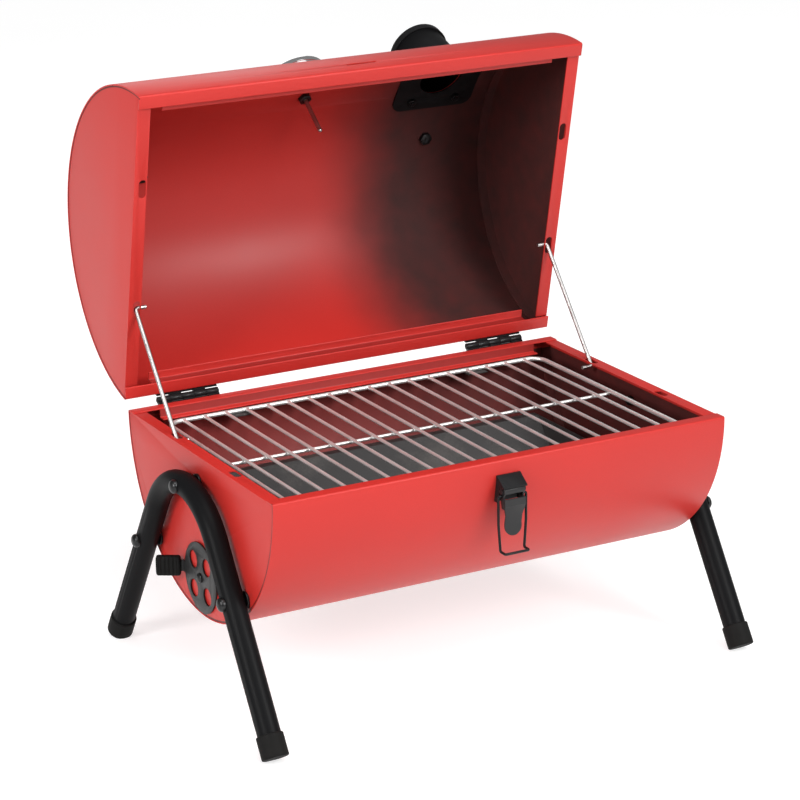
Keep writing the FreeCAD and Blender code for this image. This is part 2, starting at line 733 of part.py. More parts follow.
def make_lever(pivot):
    """Latch lever: eyes round the pivot pin, side walls and a rounded thumb tongue."""
    wall_half = latch_half - latch_sheet - lever_play
    face = latch_pivot_out + lever_face_out
    eye = Part.makeCylinder(lever_eye_radius, 2 * wall_half, pivot - V(wall_half, 0, 0), X_AXIS)
    walls = side_prism([
        out(latch_pivot_out + 2.8, latch_pivot_drop + 2), out(latch_pivot_out + 2.2, lever_face_top - 0.2),
        out(face, lever_face_top), out(face, lever_wall_end - 3),
        out(face - 2, lever_wall_end), out(face - 6, lever_wall_end),
        out(latch_pivot_out - 3.0, lever_face_top), out(latch_pivot_out - 3.4, latch_pivot_drop + 2),
    ], wall_half)
    hollow = box(-wall_half + latch_sheet, wall_half - latch_sheet, -barrel_radius - face + latch_sheet,
                 -barrel_radius + 5, -lever_wall_end - 5, -latch_pivot_drop + 8)
    body = fuse([eye, walls]).cut(hollow)
    bend = lever_end_drop - lever_crease
    tip_face = face - lever_lean + 1.0
    tongue = side_prism([
        out(face, lever_wall_end - 4), out(face - lever_lean, bend), out(tip_face, lever_end_drop),
        out(tip_face - latch_sheet, lever_end_drop), out(face - lever_lean - latch_sheet, bend),
        out(face - latch_sheet, lever_wall_end - 4),
    ], wall_half)
    round_z = -lever_end_drop + lever_tongue_half
    shoulder = -lever_wall_end - 6.0
    outline = [V(-wall_half, 0, -lever_wall_end + 6), V(-wall_half, 0, -lever_wall_end + 1),
               V(-lever_tongue_half, 0, shoulder), V(-lever_tongue_half, 0, round_z),
               V(lever_tongue_half, 0, round_z), V(lever_tongue_half, 0, shoulder),
               V(wall_half, 0, -lever_wall_end + 1), V(wall_half, 0, -lever_wall_end + 6)]
    keep = fuse([moved(plate(outline, V(0, 30, 0)), y=-barrel_radius - 20),
                 Part.makeCylinder(lever_tongue_half, 30, V(0, -barrel_radius - 20, round_z), Y_AXIS)])
    return fuse([body, tongue.common(keep)])


def make_bail():
    """Wire bail hanging from the lever; its free end is bent outwards."""
    y = -barrel_radius - bail_pivot_out
    top = -bail_pivot_drop
    low = -2 * bail_pivot_drop - lid_gap - keeper_lift
    middle = (top + low) / 2
    inside = latch_half - latch_sheet - lever_play - latch_sheet - 1.0
    right = [V(inside, y, top), V(bail_half_top, y, top), V(bail_half_top, y, middle),
             V(bail_half_end, y, low), V(bail_half_end, y - bail_hook, low)]
    left = [V(-p.x, p.y, p.z) for p in reversed(right)]
    return bent_wire(right + left, bail_radius + 0.6, bail_radius)


def make_latch():
    """Toggle latch: riveted bracket, pivot pin, lever and wire bail."""
    pivot = out(latch_pivot_out, latch_pivot_drop)
    pin_half = latch_half + latch_pin_end
    across = V(pin_half, 0, 0)
    pin = rod(pivot - across, pivot + across, latch_pin_radius)
    bracket = make_bracket().cut(rod(pivot - across * 2, pivot + across * 2, latch_pin_radius))
    leaf_outer = barrel_radius + weld_gap + latch_sheet
    for x, angle in latch_rivet_places():
        bracket = bracket.cut(radial_rod(x, angle, barrel_radius - 2, leaf_outer + 1,
                                         rivet_radius + weld_gap))
    lever = make_lever(pivot)
    lever = lever.cut(rod(pivot - across * 2, pivot + across * 2, latch_pin_radius + hinge_pin_play))
    bail_pivot = out(bail_pivot_out, bail_pivot_drop)
    lever = lever.cut(rod(bail_pivot - across * 2, bail_pivot + across * 2, bail_radius + hinge_pin_play))
    parts = {
        "latch_bracket": bracket,
        "latch_rivets": Part.makeCompound([rivet(x, angle, inner_radius, leaf_outer)
                                           for x, angle in latch_rivet_places()]),
        "latch_pivot_pin": pin,
        "latch_lever": lever,
        "latch_bail": make_bail(),
    }
    return {name: moved(shape, z=rim_height) for name, shape in parts.items()}


# -------------------------------------------------------------- cooking grate
def make_grate():
    """Wire cooking grate: frame with one cross wire, and its bars."""
    z = rim_height - grate_drop
    corner = grate_corner
    x = grate_half_x
    y = grate_half_y
    points = [V(0, -y, z), V(x, -y, z), V(x, y, z), V(-x, y, z), V(-x, -y, z), V(0, -y, z)]
    loop = bent_wire(points, corner, grate_frame_radius)
    cross_z = z - 2 * grate_bar_radius
    cross = rod(V(-x, 0, cross_z), V(x, 0, cross_z), grate_bar_radius)
    frame = fuse([loop, cross])
    bars = []
    for i in range(grate_bar_count):
        bar_x = (i - (grate_bar_count - 1) / 2) * grate_bar_pitch
        bar = rod(V(bar_x, -y, z), V(bar_x, y, z), grate_bar_radius)
        pieces = bar.cut(frame).Solids
        bars.append(max(pieces, key=lambda s: s.Volume))
    return {"grate_frame": frame, "grate_bars": Part.makeCompound(bars)}


def make_grate_supports():
    """Four brackets under the ledge; the grate's wire rests on their tongues."""
    ledge_under = rim_height - rim_joggle - sheet
    tongue_top = rim_height - grate_drop - grate_frame_radius
    wall_y = strip_edge - rim_ledge + 3.0
    tongue_end = grate_half_y - support_reach
    supports = []
    for x in (-support_x, support_x):
        for side in (-1, 1):
            x0 = x - support_width / 2
            x1 = x + support_width / 2
            bracket = fuse([
                box(x0, x1, wall_y, wall_y + sheet, tongue_top - sheet, ledge_under),
                box(x0, x1, tongue_end, wall_y + sheet / 2, tongue_top - sheet, tongue_top),
            ])
            supports.append(bracket if side > 0 else bracket.mirror(ORIGIN, Y_AXIS))
    return {"grate_supports": Part.makeCompound(supports)}


# -------------------------------------------------------------- charcoal tray
def make_tray():
    """Slotted charcoal tray with sloping sides, and the two feet under it."""
    floor_z = rim_height - tray_floor_drop
    lip_z = rim_height - tray_lip_drop
    run = tray_lip_half - tray_floor_half
    rise = lip_z - floor_z
    lean = math.atan2(run, rise)
    shift = sheet / math.cos(lean)

    def trough(offset, half_x):
        top_z = lip_z + (cut_margin if offset else 0)
        points = [
            V(-half_x, -tray_floor_half + offset * 0.5, floor_z + offset),
            V(-half_x, -tray_lip_half + offset * shift / sheet, top_z),
            V(-half_x, tray_lip_half - offset * shift / sheet, top_z),
            V(-half_x, tray_floor_half - offset * 0.5, floor_z + offset),
        ]
        return plate(points, V(2 * half_x, 0, 0))

    tray = trough(0.0, tray_half_x).cut(trough(sheet, tray_half_x - sheet))
    for side in (-1, 1):
        lip_root = tray_lip_half - tray_lip_overlap
        lip = box(-tray_half_x, tray_half_x, lip_root, tray_lip_half + tray_lip, lip_z - sheet, lip_z)
        tray = tray.fuse(lip if side > 0 else lip.mirror(ORIGIN, Y_AXIS))
    tray = tray.removeSplitter()
    column_pitch = 2 * (tray_half_x - tray_slot_margin_x) / tray_slot_columns
    row_pitch = 2 * (tray_floor_half - tray_slot_margin_y) / tray_slot_rows
    for row in range(tray_slot_rows):
        for column in range(tray_slot_columns):
            cx = (column - (tray_slot_columns - 1) / 2) * column_pitch
            cy = (row - (tray_slot_rows - 1) / 2) * row_pitch
            low = floor_z - cut_margin
            high = floor_z + sheet + cut_margin
            tray = tray.cut(oblong(cx, cy, low, high, tray_slot_length, tray_slot_width))
    feet = []
    for x in (-tray_foot_x, tray_foot_x):
        x0 = x - tray_foot_width / 2
        x1 = x + tray_foot_width / 2
        low_z = rim_height - inner_radius
        block = box(x0, x1, -tray_foot_half, tray_foot_half, low_z - 5, floor_z)
        inner_half = tray_foot_half - sheet
        hollow = box(x0 - cut_margin, x1 + cut_margin, -inner_half, inner_half, low_z - 6, floor_z - sheet)
        inside_radius = inner_radius - weld_gap
        inside = Part.makeCylinder(inside_radius, body_width, V(-half_width, 0, rim_height), X_AXIS)
        feet.append(block.cut(hollow).common(inside))
    return {"charcoal_tray": tray, "tray_feet": Part.makeCompound(feet)}


# ------------------------------------------------------------------- the lid
def radial_place(shape, x, angle):
    """Put a shape built on +Z onto the lid, leaning to the front by an angle."""
    return moved(turned(shape, ORIGIN, X_AXIS, angle), x=x)


def chimney_axis(shape):
    """Put a shape built on +Z onto the chimney's axis."""
    lift = math.sqrt(barrel_radius ** 2 - chimney_offset ** 2)
    return moved(turned(shape, ORIGIN, X_AXIS, chimney_tilt), x=chimney_x, y=-chimney_offset, z=lift)


def chimney_plate(inner, outer):
    """Curved plate with rounded corners under or over the lid sheet."""
    half_x = chimney_plate_x / 2
    half_arc = chimney_plate_arc / 2
    prism = box(-half_x, half_x, -half_arc, half_arc, inner - 30, outer + 30)
    uprights = [e for e in prism.Edges if abs(e.tangentAt(e.FirstParameter).z) > 0.99]
    prism = radial_place(prism.makeFillet(chimney_plate_corner, uprights), chimney_x, chimney_plate_angle)
    spread = arc_of(chimney_plate_arc, barrel_radius)
    middle = 90 + chimney_plate_angle
    ring = sector(inner, outer, middle - spread, middle + spread, chimney_x - 60, chimney_x + 60)
    return ring.common(prism)


def chimney_screw_places():
    """(x, lean angle) of the chimney's four screws."""
    spread = arc_of(chimney_screw_arc, barrel_radius)
    return [(chimney_x + sx * chimney_screw_x, chimney_plate_angle + sa * spread)
            for sx in (-1, 1) for sa in (-1, 1)]


def make_lid_shell():
    """Lid wrap with its keeper slot and the holes for everything on it."""
    shell = half_shell().mirror(ORIGIN, Z_AXIS)
    for side in (-1, 1):
        for x, angle in hinge_rivet_places():
            shell = shell.cut(radial_rod(side * x, angle, inner_radius - 2, barrel_radius + 2,
                                         rivet_radius + weld_gap))
    half = keeper_height / 2
    keeper_y = -math.sqrt(barrel_radius ** 2 - keeper_lift ** 2)
    shell = shell.cut(box(-keeper_half, keeper_half, keeper_y - 5, keeper_y + 5,
                          keeper_lift - half, keeper_lift + half))
    shell = shell.cut(chimney_axis(Part.makeCylinder(chimney_bore, 60, V(0, 0, -30))))
    for x, angle in chimney_screw_places():
        hole = Part.makeCylinder(small_screw_radius + screw_play, 20, V(0, 0, barrel_radius - 10))
        shell = shell.cut(radial_place(hole, x, angle))
    stem_hole = Part.makeCylinder(stem_radius + screw_play, 20, V(0, 0, barrel_radius - 10))
    shell = shell.cut(radial_place(stem_hole, dial_x, dial_angle))
    for side in (-1, 1):
        hole_base = V(side * handle_post_x, 0, barrel_radius - 10)
        hole = Part.makeCylinder(handle_bolt_radius + screw_play, 20, hole_base)
        shell = shell.cut(hole)
    return shell


def make_chimney():
    """Chimney: welded tube and saddle, turning cap, inner plate and screws."""
    inner_top = inner_radius - weld_gap
    inner_plate = chimney_plate(inner_top - sheet, inner_top)
    saddle_inner = barrel_radius + weld_gap
    saddle_outer = saddle_inner + sheet
    saddle = chimney_plate(saddle_inner, saddle_outer)
    tube_top = chimney_length - damper_play - sheet
    tube = Part.makeCylinder(chimney_tube_radius, tube_top + 30, V(0, 0, -30))
    bore = Part.makeCylinder(chimney_tube_radius - sheet, tube_top - sheet + 30, V(0, 0, -30))
    tube = chimney_axis(tube.cut(bore))
    keep_out = Part.makeCylinder(saddle_inner + sheet / 2, body_width, V(-half_width, 0, 0), X_AXIS)
    stack = fuse([tube.cut(keep_out), saddle])
    draught = chimney_axis(Part.makeCylinder(chimney_bore, 60, V(0, 0, -45)))
    stack = stack.cut(draught.common(keep_out.fuse(saddle)))
    inner_plate = inner_plate.cut(draught)

    cap_inner = chimney_tube_radius + chimney_cap_play
    skirt_end = chimney_length - chimney_cap_skirt
    cap = Part.makeCylinder(chimney_cap_radius, chimney_cap_skirt, V(0, 0, skirt_end))
    cap = cap.cut(Part.makeCylinder(cap_inner, chimney_cap_skirt, V(0, 0, skirt_end - sheet)))
    top_edge = [e for e in cap.Edges if e.Curve.TypeId == "Part::GeomCircle"
                and abs(e.Curve.Radius - chimney_cap_radius) < 1e-6
                and e.CenterOfMass.z > chimney_length - 1e-3]
    cap = cap.makeFillet(1.0, top_edge)
    for i in range(4):
        for offset, target in ((0, "stack"), (45, "cap")):
            angle = math.radians(90 * i + offset)
            hole = Part.makeCylinder(chimney_hole_radius, 12, V(chimney_hole_circle * math.cos(angle),
                                                                chimney_hole_circle * math.sin(angle),
                                                                chimney_length - 8))
            if target == "cap":
                cap = cap.cut(hole)
            else:
                stack = stack.cut(chimney_axis(hole))
    pin_hole = Part.makeCylinder(damper_rivet_radius + hinge_pin_play, 12, V(0, 0, chimney_length - 8))
    cap = cap.cut(pin_hole)
    stack = stack.cut(chimney_axis(Part.makeCylinder(damper_rivet_radius + weld_gap, 12,
                                                     V(0, 0, chimney_length - 8))))
    head_z = chimney_length + damper_play
    under_z = tube_top - sheet
    cap_rivet = fuse([
        Part.makeCylinder(damper_rivet_radius, head_z - under_z, V(0, 0, under_z)),
        dome(V(0, 0, head_z), Z_AXIS, damper_rivet_head, 2.2),
        dome(V(0, 0, under_z), V(0, 0, -1), damper_rivet_head, 1.6),
    ])

    screws = []
    nuts = []
    plate_under = inner_top - sheet
    for x, angle in chimney_screw_places():
        drill = Part.makeCylinder(small_screw_radius + screw_play, 20, V(0, 0, barrel_radius - 10))
        hole = radial_place(drill,
                            x, angle)
        stack = stack.cut(hole)
        inner_plate = inner_plate.cut(hole)
        head_z = saddle_outer + 0.02
        tail_z = plate_under - small_nut_height - screw_tail
        screw = fuse([
            dome(V(0, 0, head_z), Z_AXIS, small_head_radius, small_head_height),
            Part.makeCylinder(small_screw_radius, head_z + 0.5 - tail_z, V(0, 0, tail_z)),
        ])
        screws.append(radial_place(screw, x, angle))
        nut = hex_nut(V(0, 0, plate_under - 0.05), V(0, 0, -1), small_nut_flats, small_nut_height,
                      small_screw_radius + weld_gap)
        nuts.append(radial_place(nut, x, angle))
    return {
        "chimney_tube": stack,
        "chimney_inner_plate": inner_plate,
        "chimney_screws": Part.makeCompound(screws),
        "chimney_nuts": Part.makeCompound(nuts),
        "chimney_cap_rivet": chimney_axis(cap_rivet),
        "chimney_cap": chimney_axis(cap),
    }


def make_thermometer():
    """Dial thermometer: case, dial, needle, lens, stem, and its nut inside the lid."""
    base = barrel_radius + dial_base
    top = base + dial_depth
    case = Part.makeCylinder(dial_radius, dial_depth, V(0, 0, base))
    rims = [e for e in case.Edges if e.Curve.TypeId == "Part::GeomCircle"]
    case = case.makeFillet(1.2, rims)
    opening = Part.makeCylinder(dial_radius - dial_bezel, dial_depth, V(0, 0, top - dial_wall))
    cavity_depth = dial_depth - 2 * dial_wall
    cavity = Part.makeCylinder(dial_radius - dial_wall, cavity_depth, V(0, 0, base + dial_wall))
    case = case.cut(opening).cut(cavity)
    collar = Part.makeCylinder(stem_collar_radius, dial_base + dial_wall, V(0, 0, barrel_radius + 0.1))
    case = case.fuse(collar).cut(Part.makeCylinder(stem_radius + weld_gap, 60, V(0, 0, base - 30)))
    case = case.removeSplitter()
    plate_z = top - dial_wall - dial_plate_drop
    dial = Part.makeCylinder(dial_radius - dial_wall - 0.1, 0.8, V(0, 0, plate_z))
    dial = dial.cut(Part.makeCylinder(stem_radius + 0.3, 4, V(0, 0, plate_z - 1)))
    lens = Part.makeCylinder(dial_radius - dial_wall - 0.1, 1.4, V(0, 0, top - dial_wall - 1.45))
    needle_z = plate_z + 1.3
    outline = [V(-1.1, -7, needle_z), V(1.1, -7, needle_z), V(0.35, 19, needle_z), V(-0.35, 19, needle_z)]
    needle = plate(outline, V(0, 0, 0.6))
    hub = Part.makeCylinder(2.6, 1.0, V(0, 0, needle_z - 0.2))
    needle = fuse([needle, hub]).cut(Part.makeCylinder(0.85, 5, V(0, 0, needle_z - 2)))
    stem_top = plate_z - 0.2
    tip = barrel_radius - stem_reach
    stem = fuse([
        Part.makeCylinder(stem_radius, stem_top - tip - stem_radius, V(0, 0, tip + stem_radius)),
        Part.makeSphere(stem_radius, V(0, 0, tip + stem_radius)),
        Part.makeCylinder(0.8, needle_z + 0.9 - stem_top + 1, V(0, 0, stem_top - 1)),
    ])
    nut = hex_nut(V(0, 0, inner_radius - 0.3), V(0, 0, -1), dial_nut_flats, dial_nut_height,
                  stem_radius + weld_gap)
    parts = {
        "thermometer_case": case,
        "thermometer_dial": dial,
        "thermometer_needle": needle,
        "thermometer_lens": lens,
        "thermometer_stem": stem,
        "thermometer_nut": nut,
    }
    return {name: radial_place(shape, dial_x, dial_angle) for name, shape in parts.items()}


def make_handle():
    """Lid handle: round grip on two posts, each held by a bolt from inside."""
    top = barrel_radius + handle_post_height
    grip_z = top + handle_grip_radius * 0.55
    grip_half = handle_post_x + handle_overhang
    grip = rod(V(-grip_half, 0, grip_z), V(grip_half, 0, grip_z), handle_grip_radius)
    grip = grip.makeFillet(handle_grip_radius * 0.45,
                           [e for e in grip.Edges if e.Curve.TypeId == "Part::GeomCircle"])
    posts = []
    bolts = []
    for side in (-1, 1):
        x = side * handle_post_x
        post = Part.makeCylinder(handle_post_radius, top + 2 - barrel_radius + 4, V(x, 0, barrel_radius - 4))
        flare = Part.makeCone(handle_post_radius + 4, handle_post_radius, 9, V(x, 0, barrel_radius - 1))
        post = fuse([post, flare])
        lid_solid = Part.makeCylinder(barrel_radius + weld_gap, body_width, V(-half_width, 0, 0), X_AXIS)
        post = post.cut(lid_solid)
        post = post.cut(grip)
        depth = barrel_radius + handle_bolt_depth
        post = post.cut(Part.makeCylinder(handle_bolt_radius + weld_gap, depth - barrel_radius + 10,
                                          V(x, 0, barrel_radius - 10)))
        posts.append(max(post.Solids, key=lambda s: s.Volume))
        head_z = inner_radius - 0.2
        head = hex_nut(V(x, 0, head_z), V(0, 0, -1), 2 * handle_bolt_head * 0.9, handle_bolt_height, 0.5)
        shank = Part.makeCylinder(handle_bolt_radius, depth - head_z + handle_bolt_height - 1,
                                  V(x, 0, head_z - handle_bolt_height + 0.5))
        bolts.append(fuse([head, shank]))
    return {
        "handle_grip": grip,
        "handle_posts": Part.makeCompound(posts),
        "handle_bolts": Part.makeCompound(bolts),
    }


def make_lid(hinge_parts):
    """Everything on the lid body, built shut and then opened."""
    shut = {"lid_shell": make_lid_shell()}
    plate_right = end_plate(lid_side_drop).mirror(ORIGIN, Z_AXIS)
    shut["lid_end_cap_right"] = plate_right
    shut["lid_end_cap_left"] = mirrored_x(plate_right)
    shut.update(make_chimney())
    shut.update(make_thermometer())
    shut.update(make_handle())
    shut = {name: moved(shape, z=lid_axis_height) for name, shape in shut.items()}
    shut.update(hinge_parts)
    centre = V(0, hinge_y, hinge_z)
    return {name: turned(shape, centre, X_AXIS, -lid_open_angle) for name, shape in shut.items()}


def make_stay_rods():
    """Stay rods: hooked in the lid slots, sliding through the bowl slots."""
    lid_angle = math.radians(lid_open_angle)
    dy = slot_offset - hinge_y
    top = V(slot_x, hinge_y + dy * math.cos(lid_angle) + rod_pivot_rise * math.sin(lid_angle),
            hinge_z - dy * math.sin(lid_angle) + rod_pivot_rise * math.cos(lid_angle))
    low = V(slot_x, slot_offset, hinge_z - rod_pivot_rise)
    inward = V(-rod_hook, 0, 0)
    wire = bent_wire([top + inward, top, low, low + inward], rod_radius + 0.5, rod_radius)
    return {"stay_rod_right": wire, "stay_rod_left": mirrored_x(wire)}


def main():
    """Build every piece and write its STEP file."""
    os.makedirs("parts", exist_ok=True)
    nodes = {}
    nodes.update(make_bowl())
    nodes.update(make_legs())
    nodes.update(make_dampers())
    base_hinges, lid_hinges = make_hinges()
    nodes.update(base_hinges)
    nodes.update(make_latch())
    nodes.update(make_grate())
    nodes.update(make_grate_supports())
    nodes.update(make_tray())
    nodes.update(make_lid(lid_hinges))
    nodes.update(make_stay_rods())
    for name, shape in nodes.items():
        shape.exportStep(os.path.join("parts", name + ".step"))
        print(name, "solids", len(shape.Solids), "valid", shape.isValid(), "volume", round(shape.Volume))
    print("rod span", round(rod_span, 2), "nodes", len(nodes))


main()
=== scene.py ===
"""Portable barrel grill: finished look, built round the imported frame.

Lengths inside the mesh helpers are millimetres in the frame's axes; every mesh
is scaled to metres once, when it becomes an object.
"""

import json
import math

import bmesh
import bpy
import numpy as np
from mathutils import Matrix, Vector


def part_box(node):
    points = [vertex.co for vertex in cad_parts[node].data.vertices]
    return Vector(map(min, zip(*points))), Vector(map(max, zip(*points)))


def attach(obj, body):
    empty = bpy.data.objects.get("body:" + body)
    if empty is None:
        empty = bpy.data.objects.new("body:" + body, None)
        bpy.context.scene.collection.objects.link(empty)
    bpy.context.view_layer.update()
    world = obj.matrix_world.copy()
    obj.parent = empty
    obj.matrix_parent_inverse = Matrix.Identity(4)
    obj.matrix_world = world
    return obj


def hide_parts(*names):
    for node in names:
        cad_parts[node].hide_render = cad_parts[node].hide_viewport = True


bl_info = {
    "name": "Portable Barrel Grill",
    "version": (1, 0, 0),
    "blender": (4, 5, 0),
    "location": "View3D > Sidebar > Grill",
    "description": "Builds the coated shells, wires, tubes, fittings and studio of a portable grill",
    "category": "Object",
}

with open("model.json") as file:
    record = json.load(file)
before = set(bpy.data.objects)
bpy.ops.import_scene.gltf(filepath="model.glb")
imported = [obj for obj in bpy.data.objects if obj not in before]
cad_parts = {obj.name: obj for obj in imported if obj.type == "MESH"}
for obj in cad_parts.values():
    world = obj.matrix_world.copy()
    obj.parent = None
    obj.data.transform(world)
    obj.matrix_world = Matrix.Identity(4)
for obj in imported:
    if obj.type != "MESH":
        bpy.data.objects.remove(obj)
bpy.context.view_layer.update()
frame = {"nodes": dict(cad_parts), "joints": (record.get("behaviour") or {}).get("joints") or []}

MM = 0.001
JOINTS = {j["name"]: j for j in frame["joints"]}
HINGE = Vector(JOINTS["lid_hinge"]["pos_m"])
OPEN_ANGLE = math.radians(JOINTS["lid_hinge"]["range_deg"][1])
LID_OPENING = (Matrix.Translation(HINGE) @ Matrix.Rotation(-OPEN_ANGLE, 4, "X")
               @ Matrix.Translation(-HINGE))
LID_CLOSING = LID_OPENING.inverted()

BOWL_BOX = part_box("base_shell")
HALF = BOWL_BOX[1].x / MM
RADIUS = BOWL_BOX[1].y / MM
RIM = BOWL_BOX[1].z / MM
LID_AXIS = 2 * HINGE.z / MM - RIM

# Sizes that the frame's boxes don't give, in millimetres and degrees.
CHIMNEY_BORE = 21.0
KEEPER_LIFT = 15.6
KEEPER_HALF = 14.3
KEEPER_HEIGHT = 3.4
GRIP_LENGTH = 21.0
GRIP_WIDTH = 18.0
GRIP_THICKNESS = 8.0
TAB_ANGLE = math.radians(58.0)
HINGE_LEAF = 1.25
RIVET_GRIP = 2.5
RIVET_SHANK = 1.6
RIVET_HEAD = 3.2
RIVET_DOME = 1.4
SCREW_SHANK = 2.5
SCREW_HEAD = 6.0
SCREW_DOME = 4.2
SCREW_FLANGE = 1.4

# Dial thermometer: case, plate, glass and printed scale.
NEEDLE_RADIUS = 160.0
DIAL_RADIUS = 30.0
DIAL_DEPTH = 19.0
DIAL_STANDOFF = 4.0
DIAL_WALL = 1.5
DIAL_OPENING = 27.0
DIAL_COLLAR = 4.5
STEM_HOLE = 2.05
PLATE_DROP = 6.5
PLATE_THICKNESS = 0.8
PLATE_HOLE = 2.3
DIAL_FIT = 0.1
SCALE_RADIUS = 25.5
LONG_TICK = 5.0
SHORT_TICK = 2.6
TICK_HALF = 0.22
INK_HEIGHT = 0.12
NUMERAL_HEIGHT = 3.6
NUMERAL_RADIUS = 16.6
TICKS_PER_NUMERAL = 4
DEGREES_PER_TICK = 10
LOWEST_READING = 40
SCALE_START = 225
SCALE_SWEEP = 270

# Lid handle: rounded ends, grip grooves and waist.
HANDLE_END = 4.4
GROOVE_START = 9.0
GROOVE_PITCH = 4.0
GROOVE_HALF = 1.1
GROOVE_FLOOR = 0.55
GROOVE_DEPTH = 0.75
HANDLE_SHOULDER = 34.0

# Painted shade inside the barrel, on the rim's step and in the seam round the end plates, measured from the
# rim and the barrel's outside.
BARREL_SKIN = 0.6
END_SKIN = 1.0
SHADE_START = 9.3
STEP_SHADE = (1.0, 7.6)
STEP_END = 14.0
SEAM = (1.3, 2.6)
SEAM_DEPTH = 0.6


# ---------------------------------------------------------------- user settings
def length(name, text, value, least=0.0):
    """Length setting, in millimetres."""
    return bpy.props.FloatProperty(name=name, description=f"{text}, in millimetres", default=value, min=least)


def count(name, text, value, least=0):
    return bpy.props.IntProperty(name=name, description=text, default=value, min=least)


def colour_of(name, text, value):
    return bpy.props.FloatVectorProperty(name=name, description=text, subtype="COLOR", size=3, default=value,
                                         min=0, max=1)


def turn_of(name, text, degrees):
    return bpy.props.FloatProperty(name=name, description=text, subtype="ANGLE",
                                   default=math.radians(degrees))


class GrillBodySettings(bpy.types.PropertyGroup):
    """Sheet-metal bodywork."""
    coat: colour_of("Coat", "Powder coat of bowl and lid", (0.47, 0.022, 0.017))
    sheet: length("Sheet", "Sheet thickness", 1.2, 0.5)
    fold: length("Fold", "Outer radius of the folded rims", 1.7, 0.5)
    strip: length("Rim strip", "Width of the flat rim", 12.0)
    step: length("Rim step", "Depth of the step inside the rim", 8.0)
    ledge: length("Ledge", "Width of the ledge", 7.0)
    ledge_half: length("Ledge half length", "Half the ledge's length", 190.0)
    arc_steps: count("Arc steps", "Facets round half a barrel", 144, 24)


class GrillFittingSettings(bpy.types.PropertyGroup):
    """Wires, grips, feet and the dial."""
    frame_wire: length("Frame wire", "Radius of the grate's outer wire", 2.0, 0.5)
    bar_wire: length("Bar wire", "Radius of the grate's bars", 1.5, 0.5)
    bars: count("Bars", "Number of bars across the grate", 18, 2)
    pitch: length("Pitch", "Spacing of the bars", 20.3)
    corner: length("Corner", "Bend of the grate's corners", 14.0)
    rod_wire: length("Stay rod", "Radius of the stay rods", 1.75, 0.5)
    grip_ribs: count("Grip ribs", "Ribs on a damper grip", 6)
    handle_rings: count("Handle rings", "Grooves near each end of the lid handle", 5)
    ticks: count("Dial ticks", "Marks round the dial", 36, 2)


class GrillStageSettings(bpy.types.PropertyGroup):
    """Floor, lights and camera."""
    floor: colour_of("Floor", "Floor colour", (0.50, 0.50, 0.50))
    eye: bpy.props.FloatVectorProperty(name="Camera place", description="Camera position in metres", size=3,
                                       subtype="TRANSLATION", default=(-1.1204, -2.0407, 0.9704))
    yaw: turn_of("Yaw", "Camera heading, from the back towards the right", 28.27)
    pitch: turn_of("Pitch", "Camera tilt, downwards", 17.73)
    roll: turn_of("Roll", "Camera roll", -0.98)
    lens: length("Lens", "Focal length on a 36 mm sensor", 127.7, 10)
    ambient: bpy.props.FloatProperty(name="Ambient", description="Strength of the surrounding light",
                                     default=0.24)


# ------------------------------------------------------------ node graph helper
class Sock:
    """A node socket that takes part in Python expressions."""

    def __init__(self, graph, socket):
        self.graph = graph
        self.socket = socket

    def _op(self, operation, first, second):
        return self.graph.make("ShaderNodeMath", {"operation": operation}, {0: first, 1: second})[0]

    def __add__(self, other):
        return self._op("ADD", self, other)

    def __radd__(self, other):
        return self._op("ADD", other, self)

    def __sub__(self, other):
        return self._op("SUBTRACT", self, other)

    def __rsub__(self, other):
        return self._op("SUBTRACT", other, self)

    def __mul__(self, other):
        return self._op("MULTIPLY", self, other)

    def __gt__(self, other):
        return self._op("GREATER_THAN", self, other)

    def __lt__(self, other):
        return self._op("LESS_THAN", self, other)


class Made:
    """A new node; index it by output name or number."""

    def __init__(self, graph, node):
        self.graph = graph
        self.node = node

    def __getitem__(self, key):
        return Sock(self.graph, self.node.outputs[key])


class Graph:
    """Adds nodes to a tree: settings first, then values or links of the sockets."""

    def __init__(self, tree):
        self.tree = tree
        tree.nodes.clear()

    def make(self, kind, settings=None, sockets=None):
        node = self.tree.nodes.new(kind)
        for key, value in (settings or {}).items():
            if key == "stops":
                self._stops(node.color_ramp, value)
            else:
                setattr(node, key, value)
        for key, value in (sockets or {}).items():
            if isinstance(value, Sock):
                self.tree.links.new(value.socket, node.inputs[key])
            else:
                node.inputs[key].default_value = value
        return Made(self, node)

    @staticmethod
    def _stops(ramp, stops):
        while len(ramp.elements) < len(stops):
            ramp.elements.new(0.5)
        for element, (place, colour) in zip(ramp.elements, stops):
            element.position = place
            element.color = colour if len(colour) == 4 else (*colour, 1)

    def ramp(self, value, stops):
        return self.make("ShaderNodeValToRGB", {"stops": stops}, {"Fac": value})["Color"]

    def noise(self, where, scale, detail=2.0, rough=0.5):
        return self.make("ShaderNodeTexNoise", {}, {"Vector": where, "Scale": scale, "Detail": detail,
                                                    "Roughness": rough})["Fac"]

    def mix(self, factor, first, second):
        node = self.make("ShaderNodeMix", {"data_type": "RGBA"}, {0: factor})
        for index, value in ((6, first), (7, second)):
            if isinstance(value, Sock):
                self.tree.links.new(value.socket, node.node.inputs[index])
            else:
                node.node.inputs[index].default_value = (*value[:3], 1)
        return node[2]


def surface(name, build, **fixed):
    """Material with one Principled shader; build(graph, where) returns its linked inputs."""
    found = bpy.data.materials.get(name)
    if found:
        return found
    material = bpy.data.materials.new(name)
    material.use_nodes = True
    graph = Graph(material.node_tree)
    where = graph.make("ShaderNodeTexCoord")["Object"]
    shader_inputs = {NAMES.get(key, key): value for key, value in fixed.items()}
    shader_inputs.update(build(graph, where))
    shader = graph.make("ShaderNodeBsdfPrincipled", {}, shader_inputs)
    graph.make("ShaderNodeOutputMaterial", {}, {"Surface": shader["BSDF"]})
    return material


